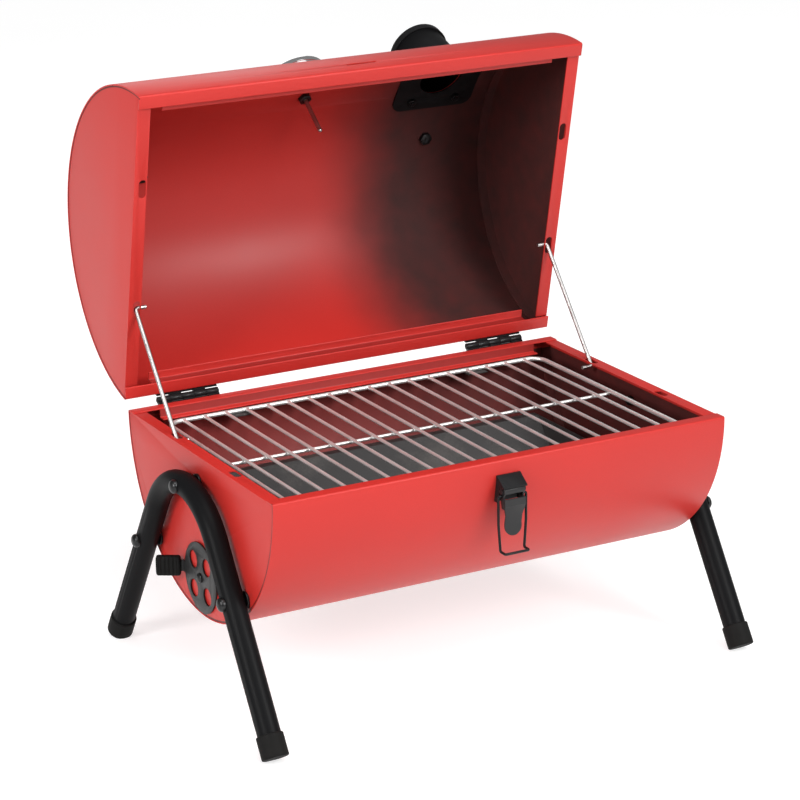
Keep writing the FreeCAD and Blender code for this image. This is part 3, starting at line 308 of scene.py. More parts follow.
NAMES = {"metallic": "Metallic", "coat": "Coat Weight", "coat_roughness": "Coat Roughness", "ior": "IOR",
         "specular": "Specular IOR Level", "transmission": "Transmission Weight", "glow": "Emission Strength"}


def grain(graph, height, strength, distance):
    """Bumped normal from a height socket."""
    bump = graph.make("ShaderNodeBump", {}, {"Strength": strength, "Distance": distance, "Height": height})
    return bump["Normal"]


def barrel_masks(graph, where, axis, inward, shade_range):
    """Painted shade inside behind the rim, painted shade on the rim's step, and painted shade in the seam
    round the end plates.
    """
    parts = graph.make("ShaderNodeSeparateXYZ", {}, {"Vector": where})
    off_y = parts["Y"] - axis.y
    off_z = parts["Z"] - axis.z
    square = off_y * off_y + off_z * off_z
    between_ends = parts["X"] * parts["X"] < ((HALF - END_SKIN) * MM) ** 2
    inside = between_ends * (square < ((RADIUS - BARREL_SKIN) * MM) ** 2)
    depth = off_y * inward.y + off_z * inward.z
    shade_wobble = graph.noise(where, 9.0, 3.0)
    spots = graph.noise(where, 60.0, 3.0)
    spread = graph.make("ShaderNodeMapRange", {"interpolation_type": "SMOOTHSTEP"}, {
        "Value": parts["X"] + (shade_wobble - 0.5) * 0.08, "From Min": shade_range[0], "From Max": shade_range[1],
        "To Min": shade_range[2], "To Max": shade_range[3]})["Result"]
    # Painted shade over the inside below the rim, with a wobbled edge and mottling.
    inner_shade = inside * (depth > SHADE_START * MM) * spread * (0.92 + spots * 0.14)
    side = parts["X"] * parts["X"] > ((HALF - STEP_END) * MM) ** 2
    step = inside * (depth > STEP_SHADE[0] * MM) * (depth < STEP_SHADE[1] * MM) * (1.0 - side)
    # Painted shade in the gap where the end plates meet the barrel.
    end = parts["X"] * parts["X"] > ((HALF - SEAM_DEPTH) * MM) ** 2
    seam_shade = end * (square > ((RADIUS - SEAM[1]) * MM) ** 2) * (square < ((RADIUS - SEAM[0]) * MM) ** 2)
    return inner_shade, step, seam_shade


def coat_material(name, colour, rough=0.46, gloss=0.30, coat=0.05, barrel=None):
    """Powder coat: faint mottling, orange-peel, a fine grain and painted shade inside."""
    def build(graph, where):
        cloud = graph.noise(where, 14.0, 3.0)
        fine = graph.noise(where, 1500.0, 2.0, 0.6)
        peel = graph.noise(where, 420.0, 1.0)
        light = tuple(min(1.0, c * 1.10) for c in colour)
        dark = tuple(c * 0.90 for c in colour)
        base = graph.mix(cloud, dark, light)
        speck = graph.ramp(fine, [(0.36, (0, 0, 0)), (0.66, (1, 1, 1))])
        base = graph.mix(speck, tuple(c * 0.93 for c in colour), base)
        roughness = rough + (cloud - 0.5) * 0.10 + (fine - 0.5) * 0.08
        if barrel:
            inner_shade, step, seam_shade = barrel_masks(graph, where, *barrel)
            # Painted shade colour inside the barrel.
            base = graph.mix(inner_shade, base, (0.016, 0.010, 0.009))
            # Painted shade on the rim's step and in the seam round the end plates.
            base = graph.mix(step * 0.5 + seam_shade * 0.85, base, (0.03, 0.004, 0.004))
            roughness = roughness + inner_shade * 0.30
        return {"Base Color": base,
                "Roughness": roughness,
                "Normal": grain(graph, fine * 0.6 + peel, 0.35, 0.00006)}
    return surface(name, build, specular=gloss, coat=coat, coat_roughness=0.30)


def bowl_coat():
    """Coat of the bowl, with painted shade all along its inside."""
    colour = tuple(bpy.context.scene.grill_body.coat)
    axis = Vector((0, 0, RIM * MM))
    inward = Vector((0, 0, -1))
    return coat_material("red powder coat, bowl", colour, barrel=(axis, inward, (-0.30, 0.30, 0.45, 0.90)))


def lid_coat():
    """Coat of the lid, with painted shade inside towards the chimney."""
    colour = tuple(bpy.context.scene.grill_body.coat)
    axis = LID_OPENING @ Vector((0, 0, LID_AXIS * MM))
    inward = LID_OPENING.to_3x3() @ Vector((0, 0, 1))
    return coat_material("red powder coat, lid", colour, barrel=(axis, inward, (0.015, 0.125, 0.0, 0.93)))


def black_coat():
    """Satin black coat of legs and chimney."""
    return coat_material("black satin tube", (0.006, 0.006, 0.0065), 0.42, 0.05, 0.0)


def black_enamel():
    """Stoved black enamel on pressed fittings."""
    def build(graph, where):
        cloud = graph.noise(where, 60.0, 3.0)
        fine = graph.noise(where, 1100.0, 2.0)
        return {"Base Color": graph.mix(cloud, (0.006, 0.006, 0.0065), (0.012, 0.012, 0.0125)),
                "Roughness": 0.30 + (cloud - 0.5) * 0.16,
                "Normal": grain(graph, fine, 0.22, 0.00004)}
    return surface("black enamel", build, specular=0.12, coat=0.04, coat_roughness=0.12)


def grey_steel():
    """Gun-grey lever face and vent plates."""
    def build(graph, where):
        cloud = graph.noise(where, 45.0, 3.0)
        fine = graph.noise(where, 900.0, 2.0)
        return {"Base Color": graph.mix(cloud, (0.016, 0.016, 0.017), (0.030, 0.030, 0.030)),
                "Roughness": 0.38 + (cloud - 0.5) * 0.12,
                "Normal": grain(graph, fine, 0.25, 0.00004)}
    return surface("grey steel", build, metallic=0.2, specular=0.25)


def rubber():
    """Moulded black rubber."""
    def build(graph, where):
        cloud = graph.noise(where, 90.0, 3.0)
        fine = graph.noise(where, 1400.0, 2.0)
        return {"Base Color": graph.mix(cloud, (0.006, 0.006, 0.006), (0.012, 0.0115, 0.011)),
                "Roughness": 0.62 + (cloud - 0.5) * 0.14,
                "Normal": grain(graph, fine, 0.4, 0.00005)}
    return surface("black rubber", build, specular=0.06)


def bright_wire():
    """Plated steel wire with faint drawing marks and heat-dulled patches."""
    def build(graph, where):
        cloud = graph.noise(where, 38.0, 3.0)
        fine = graph.noise(where, 700.0, 2.0)
        return {"Base Color": graph.mix(cloud, (0.70, 0.67, 0.65), (0.92, 0.91, 0.90)),
                "Roughness": 0.34 + cloud * 0.14 + (fine - 0.5) * 0.06,
                "Normal": grain(graph, fine, 0.15, 0.00003)}
    return surface("plated wire", build, metallic=0.75)


def drawn_steel():
    """Bare drawn wire of the stay rods."""
    def build(graph, where):
        cloud = graph.noise(where, 50.0, 3.0)
        fine = graph.noise(where, 800.0, 2.0)
        return {"Base Color": graph.mix(cloud, (0.34, 0.33, 0.32), (0.52, 0.50, 0.49)),
                "Roughness": 0.26 + cloud * 0.12 + (fine - 0.5) * 0.05,
                "Normal": grain(graph, fine, 0.15, 0.00003)}
    return surface("drawn steel wire", build, metallic=1.0)


def chrome():
    """Polished chrome."""
    def build(graph, where):
        cloud = graph.noise(where, 120.0, 2.0)
        return {"Base Color": graph.mix(cloud, (0.78, 0.78, 0.79), (0.86, 0.86, 0.86)),
                "Roughness": 0.07 + cloud * 0.06}
    return surface("polished chrome", build, metallic=1.0)


def dark_fastener():
    """Blackened steel of screws, nuts and rivets."""
    def build(graph, where):
        cloud = graph.noise(where, 260.0, 2.0)
        return {"Base Color": graph.mix(cloud, (0.012, 0.012, 0.013), (0.05, 0.05, 0.05)),
                "Roughness": 0.26 + cloud * 0.12}
    return surface("blackened steel", build, metallic=0.85)


def sooty_enamel():
    """Dark tray enamel, dusted with ash."""
    def build(graph, where):
        cloud = graph.noise(where, 26.0, 4.0)
        fine = graph.noise(where, 520.0, 3.0)
        dust = graph.ramp(cloud * 0.7 + fine * 0.3, [(0.50, (0, 0, 0)), (0.72, (1, 1, 1))])
        return {"Base Color": graph.mix(dust, (0.020, 0.018, 0.018), (0.060, 0.054, 0.050)),
                "Roughness": 0.55 + (cloud - 0.5) * 0.2,
                "Normal": grain(graph, fine, 0.5, 0.0001)}
    return surface("sooty enamel", build)


def black_plastic():
    """Heat-resistant moulded plastic with a fine spark-eroded texture."""
    def build(graph, where):
        cloud = graph.noise(where, 70.0, 2.0)
        fine = graph.noise(where, 1300.0, 2.0)
        return {"Base Color": graph.mix(cloud, (0.007, 0.007, 0.007), (0.013, 0.013, 0.013)),
                "Roughness": 0.46 + (cloud - 0.5) * 0.1,
                "Normal": grain(graph, fine, 0.5, 0.00006)}
    return surface("black plastic", build, specular=0.3)


def plain_paint(name, colour, rough):
    """Printed ink or dial paint with a trace of unevenness."""
    def build(graph, where):
        cloud = graph.noise(where, 400.0, 2.0)
        return {"Base Color": graph.mix(cloud, tuple(c * 0.92 for c in colour), colour),
                "Roughness": rough + (cloud - 0.5) * 0.08}
    return surface(name, build)


def lit_paper(colour):
    """White seamless paper, faintly lit from behind."""
    def build(graph, where):
        cloud = graph.noise(where, 2.0, 2.0)
        return {"Base Color": graph.mix(cloud, tuple(c * 0.985 for c in colour), colour),
                "Emission Color": graph.mix(cloud, (0.97, 0.97, 0.97), (1, 1, 1)),
                "Roughness": 0.75 + (cloud - 0.5) * 0.1}
    return surface("studio floor", build, specular=0.05, glow=0.68)


def clear_glass():
    """Thin dial glass."""
    def build(graph, where):
        smear = graph.noise(where, 60.0, 2.0)
        return {"Roughness": smear * 0.05}
    return surface("dial glass", build, transmission=1.0, ior=1.45)


# ------------------------------------------------------------------ mesh helpers
def new_object(name, mesh):
    """Linked object at the origin."""
    obj = bpy.data.objects.new(name, mesh)
    bpy.context.scene.collection.objects.link(obj)
    return obj


def from_bmesh(name, bm, smooth=40.0):
    """Object in metres from a mesh in millimetres, smooth up to an edge angle."""
    bmesh.ops.scale(bm, vec=(MM, MM, MM), verts=bm.verts)
    mesh = bpy.data.meshes.new(name)
    bm.to_mesh(mesh)
    bm.free()
    shade(mesh, smooth)
    return new_object(name, mesh)


def shade(mesh, smooth=40.0):
    """Smooth faces, with sharp edges above an angle in degrees."""
    mesh.shade_smooth()
    mesh.set_sharp_from_angle(angle=math.radians(smooth))


def settle(obj, smooth=40.0):
    """Turn an object's modifiers into its plain mesh."""
    graph = bpy.context.evaluated_depsgraph_get()
    mesh = bpy.data.meshes.new_from_object(obj.evaluated_get(graph))
    obj.modifiers.clear()
    obj.data = mesh
    shade(mesh, smooth)
    return obj


def bevelled(obj, width, segments=2, angle=30.0, smooth=40.0):
    """Round the sharp edges by a width in millimetres."""
    bevel = obj.modifiers.new("bevel", "BEVEL")
    bevel.width = width * MM
    bevel.segments = segments
    bevel.limit_method = "ANGLE"
    bevel.angle_limit = math.radians(angle)
    bevel.use_clamp_overlap = True
    return settle(obj, smooth)


def carved(obj, cutters):
    """Cut other objects out of one and remove them."""
    for cutter in cutters:
        boolean = obj.modifiers.new("cut", "BOOLEAN")
        boolean.operation = "DIFFERENCE"
        boolean.solver = "EXACT"
        boolean.object = cutter
    settle(obj)
    for cutter in cutters:
        bpy.data.objects.remove(cutter)
    return obj


def prism(name, outline, start, run):
    """Closed outline of (x, y, z) points pushed along a vector."""
    bm = bmesh.new()
    verts = [bm.verts.new(Vector(p) + Vector(start)) for p in outline]
    face = bm.faces.new(verts)
    extruded = bmesh.ops.extrude_face_region(bm, geom=[face])
    moving = [g for g in extruded["geom"] if isinstance(g, bmesh.types.BMVert)]
    bmesh.ops.translate(bm, vec=run, verts=moving)
    bmesh.ops.recalc_face_normals(bm, faces=bm.faces)
    return from_bmesh(name, bm)


def block(name, low, high):
    """Box between two corners."""
    outline = [(low[0], low[1], low[2]), (high[0], low[1], low[2]),
               (high[0], high[1], low[2]), (low[0], high[1], low[2])]
    return prism(name, outline, (0, 0, 0), (0, 0, high[2] - low[2]))


def cylinder(name, start, direction, radius, length, steps=48):
    """Round bar from a point along a direction."""
    turn = Vector(direction).to_track_quat("Z", "Y").to_matrix()
    ring = [turn @ Vector((x, y, 0)) for x, y in circle(radius, steps)]
    return prism(name, ring, start, Vector(direction).normalized() * length)


def circle(radius, steps):
    """(x, y) points evenly round a circle."""
    turns = np.linspace(0, 2 * math.pi, steps, endpoint=False)
    return [(radius * math.cos(a), radius * math.sin(a)) for a in turns]


def skinned(bm, rings, closed=False):
    """Faces between neighbouring rings; a ring of one point makes a fan."""
    pairs = list(zip(rings, rings[1:]))
    if closed:
        pairs.append((rings[-1], rings[0]))
    for low, high in pairs:
        steps = max(len(low), len(high))
        for i in range(steps):
            j = (i + 1) % steps
            if len(low) == 1 and len(high) == 1:
                continue
            if len(low) == 1:
                bm.faces.new((low[0], high[i], high[j]))
            elif len(high) == 1:
                bm.faces.new((low[i], low[j], high[0]))
            else:
                bm.faces.new((low[i], low[j], high[j], high[i]))


def lathe(name, profile, start=(0, 0, 0), direction=(0, 0, 1), steps=64, smooth=35.0, closed=False):
    """Turned shape: (radius, height) points spun about a direction."""
    turn = Vector(direction).to_track_quat("Z", "Y").to_matrix()
    bm = bmesh.new()
    rings = []
    for radius, height in profile:
        ring = circle(radius, steps) if radius > 0 else [(0, 0)]
        rings.append([bm.verts.new(turn @ Vector((x, y, height)) + Vector(start)) for x, y in ring])
    skinned(bm, rings, closed)
    bmesh.ops.recalc_face_normals(bm, faces=bm.faces)
    return from_bmesh(name, bm, smooth)


def tube(name, points, radius, steps=20, closed=False, smooth=50.0):
    """Round wire or rod along points."""
    pts = [Vector(p) for p in points]
    count = len(pts)
    bm = bmesh.new()
    rings = []
    side = None
    for i, p in enumerate(pts):
        before = pts[i - 1] if (i or closed) else p
        after = pts[(i + 1) % count] if (i < count - 1 or closed) else p
        ahead = (after - before).normalized()
        if side is None:
            side = ahead.orthogonal().normalized()
        side = (side - ahead * side.dot(ahead)).normalized()
        up = ahead.cross(side)
        rings.append([bm.verts.new(p + side * x + up * y) for x, y in circle(radius, steps)])
    skinned(bm, rings, closed)
    if not closed:
        bm.faces.new(reversed(rings[0]))
        bm.faces.new(rings[-1])
    bmesh.ops.recalc_face_normals(bm, faces=bm.faces)
    return from_bmesh(name, bm, smooth)


def rounded_path(points, bend, steps=8, closed=False):
    """Points along straight runs joined by tangent arcs."""
    pts = [Vector(p) for p in points]
    path = []
    count = len(pts)
    for i, corner in enumerate(pts):
        if not closed and i in (0, count - 1):
            path.append(corner)
            continue
        into = (pts[i - 1] - corner).normalized()
        out = (pts[(i + 1) % count] - corner).normalized()
        half = into.angle(out) / 2
        reach = bend / math.tan(half)
        centre = corner + (into + out).normalized() * (bend / math.sin(half))
        first = (corner + into * reach - centre).normalized()
        last = (corner + out * reach - centre).normalized()
        for k in range(steps + 1):
            path.append(centre + first.slerp(last, k / steps) * bend)
    return path


def arc_points(radius, start, end, steps):
    """(y, z) points round the barrel's axis; 0 is the back, 90 the top."""
    return [(radius * math.cos(math.radians(a)), radius * math.sin(math.radians(a)))
            for a in np.linspace(start, end, steps + 1)]


def merged(objs, name):
    """Join objects into one."""
    bm = bmesh.new()
    for obj in objs:
        bm.from_mesh(obj.data)
        bpy.data.objects.remove(obj)
    mesh = bpy.data.meshes.new(name)
    bm.to_mesh(mesh)
    bm.free()
    shade(mesh)
    return new_object(name, mesh)


def lifted(obj, height):
    """Raise a mesh by millimetres."""
    obj.data.transform(Matrix.Translation((0, 0, height * MM)))
    return obj


def open_lid(obj):
    """Turn a piece that was built shut to the lid's rest position."""
    obj.data.transform(LID_OPENING)
    return obj


def finish_piece(obj, material, body, slot, *nodes):
    """Material, body and the CAD nodes that the piece stands for; slot is not used."""
    obj.data.materials.clear()
    obj.data.materials.append(material)
    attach(obj, body)
    if nodes:
        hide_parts(*nodes)
    return obj


def refined(node, name, bevel=0.3, segments=2, flat=1.0, smooth=35.0):
    """Clean copy of a CAD node: welded, flats dissolved, edges rounded."""
    mesh = frame["nodes"][node].data.copy()
    bm = bmesh.new()
    bm.from_mesh(mesh)
    bmesh.ops.remove_doubles(bm, verts=bm.verts, dist=1e-6)
    bmesh.ops.dissolve_limit(bm, angle_limit=math.radians(flat), verts=bm.verts, edges=bm.edges)
    bm.to_mesh(mesh)
    bm.free()
    mesh.materials.clear()
    obj = new_object(name, mesh)
    if bevel:
        return bevelled(obj, bevel, segments, 32.0, smooth)
    shade(mesh, smooth)
    return obj


def dressed(node, name, material, body, slot, *finish):
    """Refined copy of a node with its material; finish is passed on to refined()."""
    return finish_piece(refined(node, name, *finish), material, body, slot, node)


# ----------------------------------------------------------------------- stage
def add_light(name, light, turn, place=(0, 0, 0)):
    """Link a light that shines along the direction `turn`."""
    lamp = bpy.data.objects.new(name, light)
    lamp.location = place
    lamp.rotation_euler = turn.to_track_quat("-Z", "Y").to_euler()
    bpy.context.scene.collection.objects.link(lamp)


def make_lights(ambient):
    """Even surroundings, four softboxes and a wide soft sun."""
    world = bpy.data.worlds.new("studio")
    bpy.context.scene.world = world
    world.use_nodes = True
    graph = Graph(world.node_tree)
    glow = graph.make("ShaderNodeBackground", {}, {"Color": (1, 1, 1, 1), "Strength": ambient})
    graph.make("ShaderNodeOutputWorld", {}, {"Surface": glow["Background"]})
    aim = Vector((0, 0, 0.22))
    for name, place, size, power in (
            ("key softbox", (0.9, -2.2, 1.6), 0.9, 44),
            ("left softbox", (-2.3, -0.8, 1.3), 0.9, 46),
            ("top softbox", (-0.4, -0.6, 2.3), 1.2, 16),
            ("back softbox", (0.5, 2.2, 1.3), 1.2, 6)):
        light = bpy.data.lights.new(name, "AREA")
        light.shape = "DISK"
        light.size = size
        light.energy = power
        add_light(name, light, aim - Vector(place), place)
    sky = bpy.data.lights.new("soft daylight", "SUN")
    sky.angle = math.radians(70)
    sky.energy = 1.3
    add_light("soft daylight", sky, Vector((-0.35, 0.75, -1.0)))


def make_camera(stage):
    """Camera from its place and its heading, tilt and roll."""
    yaw = stage.yaw
    pitch = stage.pitch
    ahead = Vector((math.sin(yaw) * math.cos(pitch), math.cos(yaw) * math.cos(pitch), -math.sin(pitch)))
    right = Vector((math.cos(yaw), -math.sin(yaw), 0))
    up = right.cross(ahead)
    turned_right = right * math.cos(stage.roll) + up * math.sin(stage.roll)
    turned_up = up * math.cos(stage.roll) - right * math.sin(stage.roll)
    camera = bpy.data.cameras.new("camera")
    camera.sensor_width = 36
    camera.lens = stage.lens
    eye = bpy.data.objects.new("camera", camera)
    turn = Matrix((turned_right, turned_up, -ahead)).transposed().to_4x4()
    eye.matrix_world = Matrix.Translation(stage.eye) @ turn
    bpy.context.scene.collection.objects.link(eye)
    bpy.context.scene.camera = eye


def make_stage():
    """White paper floor, lights and camera."""
    scene = bpy.context.scene
    stage = scene.grill_stage
    scene.view_settings.view_transform = "Standard"
    scene.view_settings.look = "None"
    reach = 6000
    floor = block("floor", (-reach, -reach, -20), (reach, reach, 0))
    floor.data.materials.append(lit_paper(tuple(stage.floor)))
    make_lights(stage.ambient)
    make_camera(stage)


# ---------------------------------------------------------------------- shells
def shell_profile(settings):
    """(y, z) outline of the wrap and its flat rims, bowl side down, axis at 0."""
    lip_round = 0.7
    outer = RADIUS
    inner = RADIUS - settings.sheet
    fold = settings.fold
    inside_fold = max(0.3, fold - settings.sheet)
    lip = outer - settings.strip
    start = math.degrees(math.asin(fold / outer))
    outline = arc_points(outer, 180 + start, 360 - start, settings.arc_steps)

    def corner(cy, cz, radius, first, last):
        return [(cy + radius * math.cos(math.radians(a)), cz + radius * math.sin(math.radians(a)))
                for a in np.linspace(first, last, 6)]

    right = corner(outer - fold, -fold, fold, 0, 90)[1:]
    right += corner(lip + lip_round, -lip_round, lip_round, 90, 180)
    right += [(lip, -settings.sheet)]
    right += corner(inner - inside_fold, -settings.sheet - inside_fold, inside_fold, 90, 0)
    inner_start = math.degrees(math.asin((settings.sheet + inside_fold) / inner))
    inside = arc_points(inner, 360 - inner_start, 180 + inner_start, settings.arc_steps)[1:-1]
    left = [(-y, z) for y, z in reversed(right)]
    return outline + right + inside + left


def shell_body(name, settings, cutters=()):
    """Wrap with its rims, and the step and ledge inside each long rim."""
    lap = 0.4
    outline = [(0, y, z) for y, z in shell_profile(settings)]
    wrap = prism(name, outline, (-HALF, 0, 0), (2 * HALF, 0, 0))
    if cutters:
        carved(wrap, cutters)
    bevelled(wrap, 0.35, 2, 40.0)
    lip = RADIUS - settings.strip
    sheet = settings.sheet
    parts = [wrap]
    for side in (-1, 1):
        edge = lip - settings.ledge
        low = -settings.step
        wall = [(lip + sheet, -lap), (lip, -lap), (lip, low + 0.9), (lip - 0.3, low + 0.3), (lip - 0.9, low)]
        shelf = [(edge + lap, low), (edge, low - lap), (edge, low - sheet), (lip + sheet, low - sheet)]
        outline = [(0, side * y, z) for y, z in wall + shelf]
        step = prism("step", outline, (-settings.ledge_half, 0, 0), (2 * settings.ledge_half, 0, 0))
        parts.append(bevelled(step, 0.25, 2, 50.0))
    return merged(parts, name)


def lid_cutters():
    """Chimney bore and keeper slot, for a lid that is still upside down about its axis."""
    chimney = JOINTS["chimney_cap_turn"]
    place = LID_CLOSING @ Vector(chimney["pos_m"])
    along = LID_CLOSING.to_3x3() @ Vector(chimney["axis"])
    start = Vector((place.x / MM, place.y / MM, LID_AXIS - place.z / MM))
    along.z = -along.z
    reach = 30.0
    bore = cylinder("bore", start - along * reach, along, CHIMNEY_BORE, 2 * reach, 96)
    front = -math.sqrt(RADIUS ** 2 - KEEPER_LIFT ** 2)
    half = KEEPER_HEIGHT / 2
    slot = block("slot", (-KEEPER_HALF, front - 5, -KEEPER_LIFT - half),
                 (KEEPER_HALF, front + 5, -KEEPER_LIFT + half))
    return [bore, slot]


def make_shells():
    """Barrel wraps of bowl and lid."""
    settings = bpy.context.scene.grill_body
    bowl = lifted(shell_body("bowl_wrap", settings), RIM)
    finish_piece(bowl, bowl_coat(), "base", "red_coat", "base_shell")
    lid = shell_body("lid_wrap", settings, lid_cutters())
    lid.data.transform(Matrix.Scale(-1, 4, (0, 0, 1)))
    lid.data.flip_normals()
    lifted(lid, LID_AXIS)
    open_lid(lid)
    finish_piece(lid, lid_coat(), "lid", "red_coat", "lid_shell")


def islands(node):
    """Boxes of a CAD node's separate solids, as (lowest, highest) corners in metres."""
    bm = bmesh.new()
    bm.from_mesh(frame["nodes"][node].data)
    bmesh.ops.remove_doubles(bm, verts=bm.verts, dist=1e-6)
    found = []
    unseen = set(bm.verts)
    while unseen:
        stack = [unseen.pop()]
        group = []
        while stack:
            vert = stack.pop()
            group.append(vert.co.copy())
            for edge in vert.link_edges:
                other = edge.other_vert(vert)
                if other in unseen:
                    unseen.remove(other)
                    stack.append(other)
        low = Vector([min(c[i] for c in group) for i in range(3)])
        high = Vector([max(c[i] for c in group) for i in range(3)])
        found.append((low, high))
    bm.free()
    return sorted(found, key=lambda pair: tuple(round(c, 5) for c in pair[0]))


def node_tree(name, inputs):
    """Geometry-nodes group with the given inputs and one geometry output."""
    tree = bpy.data.node_groups.new(name, "GeometryNodeTree")
    for label, kind in inputs.items():
        tree.interface.new_socket(label, in_out="INPUT", socket_type=f"NodeSocket{kind}")
    tree.interface.new_socket("Geometry", in_out="OUTPUT", socket_type="NodeSocketGeometry")
    return tree


def template_geometry(graph, inputs):
    """Mesh of the template object, as it was modelled."""
    template = {"Object": inputs["Template"]}
    return graph.make("GeometryNodeObjectInfo", {"transform_space": "ORIGINAL"}, template)["Geometry"]


def finish_copies(graph, inputs, copies):
    """Real mesh from the instances, with its material, to the group's output."""
    real = graph.make("GeometryNodeRealizeInstances", {}, {"Geometry": copies["Instances"]})
    done = graph.make("GeometryNodeSetMaterial", {}, {
        "Geometry": real["Geometry"], "Material": inputs["Finish"]})
    graph.make("NodeGroupOutput", {}, {"Geometry": done["Geometry"]})


def repeat_tree():
    """Geometry nodes: one template on every point, turned to the point's facing."""
    found = bpy.data.node_groups.get("repeat on points")
    if found:
        return found
    tree = node_tree("repeat on points", {"Geometry": "Geometry", "Template": "Object", "Finish": "Material"})
    graph = Graph(tree)
    inputs = graph.make("NodeGroupInput")
    facing = graph.make("GeometryNodeInputNamedAttribute", {"data_type": "FLOAT_VECTOR"}, {"Name": "facing"})
    turn = graph.make("FunctionNodeAlignRotationToVector", {"axis": "Z"}, {"Vector": facing[0]})
    finish_copies(graph, inputs, graph.make("GeometryNodeInstanceOnPoints", {}, {
        "Points": inputs["Geometry"], "Instance": template_geometry(graph, inputs),
        "Rotation": turn["Rotation"]}))
    return tree


def row_tree():
    """Geometry nodes: a straight row of one template along X."""
    tree = node_tree("row of bars", {"Geometry": "Geometry", "Template": "Object", "Count": "Int",
                                     "Pitch": "Vector", "Start": "Vector", "Finish": "Material"})
    graph = Graph(tree)
    inputs = graph.make("NodeGroupInput")
    line = graph.make("GeometryNodeMeshLine", {"mode": "OFFSET"}, {
        "Count": inputs["Count"], "Start Location": inputs["Start"], "Offset": inputs["Pitch"]})
    finish_copies(graph, inputs, graph.make("GeometryNodeInstanceOnPoints", {}, {
        "Points": line["Mesh"], "Instance": template_geometry(graph, inputs)}))
    return tree


def run_tree(obj, tree, values):
    """Give an object a geometry-nodes modifier, set its inputs by name and keep the result."""
    modifier = obj.modifiers.new("nodes", "NODES")
    modifier.node_group = tree
    for item in tree.interface.items_tree:
        if item.in_out == "INPUT" and item.name in values:
            modifier[item.identifier] = values[item.name]
    return settle(obj)


def repeated(name, template, places, material):
    """Template (built on +Z at the origin) at each (point in metres, facing)."""
    mesh = bpy.data.meshes.new(name)
    mesh.from_pydata([tuple(point) for point, facing in places], [], [])
    layer = mesh.attributes.new("facing", "FLOAT_VECTOR", "POINT")
    for item, (point, facing) in zip(layer.data, places):
        item.vector = Vector(facing).normalized()
    obj = new_object(name, mesh)
    run_tree(obj, repeat_tree(), {"Template": template, "Finish": material})
    bpy.data.objects.remove(template)
    return obj


def dome_profile(radius, height, crown, steps=7):
    """Domed head on z = 0 with a soft edge: (radius, height) points up to the pole."""
    points = [(radius, crown)]
    for k in range(1, steps + 1):
        angle = math.pi / 2 * k / steps
        points.append((radius * math.cos(angle), crown + (height - crown) * math.sin(angle)))
    points[-1] = (0.0, height)
    return points


# -------------------------------------------------------------------- end caps
def make_end_caps():
    """End plates: folded side rims, stay-rod slots, vent holes and a soft edge."""
    for side in ("left", "right"):
        dressed(f"base_end_cap_{side}", f"bowl_end_{side}", bowl_coat(), "base", "red_coat", 0.45, 3)
        dressed(f"lid_end_cap_{side}", f"lid_end_{side}", lid_coat(), "lid", "red_coat", 0.45, 3)


# ------------------------------------------------------------------- the grate
def make_grate():
    """Rim wire with its cross wire, and a row of bars with melted weld ends."""
    settings = bpy.context.scene.grill_fittings
    low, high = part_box("grate_frame")
    wire = settings.frame_wire
    half_x = high.x / MM - wire
    half_y = high.y / MM - wire
    level = high.z / MM - wire
    corners = [(-half_x, -half_y, level), (half_x, -half_y, level),
               (half_x, half_y, level), (-half_x, half_y, level)]
    rim = tube("rim", rounded_path(corners, settings.corner, 10, True), wire, 20, True)
    thin = settings.bar_wire
    cross = tube("cross", [(-half_x, 0, level - 2 * thin), (half_x, 0, level - 2 * thin)], thin)
    frame_wire = merged([rim, cross], "grate_rim_wire")
    finish_piece(frame_wire, bright_wire(), "cooking_grate", "plated_wire", "grate_frame")
    melt = thin * 1.5
    reach = half_y - wire * 0.4
    weld = [(0.0, -reach), (melt * 0.7, -reach), (melt, -reach + 1.2),
            (thin * 1.12, -reach + 2.6), (thin, -reach + 5)]
    profile = weld + [(radius, -at) for radius, at in reversed(weld)]
    bar = lathe("bar", profile, (0, 0, 0), (0, 1, 0), 16, 60.0)
    row = new_object("grate_bar_row", bpy.data.meshes.new("grate_bar_row"))
    start = -(settings.bars - 1) / 2 * settings.pitch
    run_tree(row, row_tree(), {"Template": bar, "Count": settings.bars, "Pitch": (settings.pitch * MM, 0, 0),
                               "Start": (start * MM, 0, level * MM), "Finish": bright_wire()})
    bpy.data.objects.remove(bar)
    finish_piece(row, bright_wire(), "cooking_grate", "plated_wire", "grate_bars")


def make_stay_rods():
    """Wire rods with a cross hook at each end."""
    wire = bpy.context.scene.grill_fittings.rod_wire
    inside_bend = 0.8
    for side, sign in (("left", -1), ("right", 1)):
        node = f"stay_rod_{side}"
        low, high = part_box(node)
        pivot = Vector(JOINTS[f"{node}_pivot"]["pos_m"]) / MM
        bottom = Vector((pivot.x, low.y / MM + wire, low.z / MM + wire))
        inward = Vector((-sign * ((high.x - low.x) / MM - wire), 0, 0))
        path = rounded_path([pivot + inward, pivot, bottom, bottom + inward], wire + inside_bend, 8)
        rod = tube(f"stay_{side}", path, wire, 18)
        finish_piece(rod, drawn_steel(), node, "plated_wire", node)


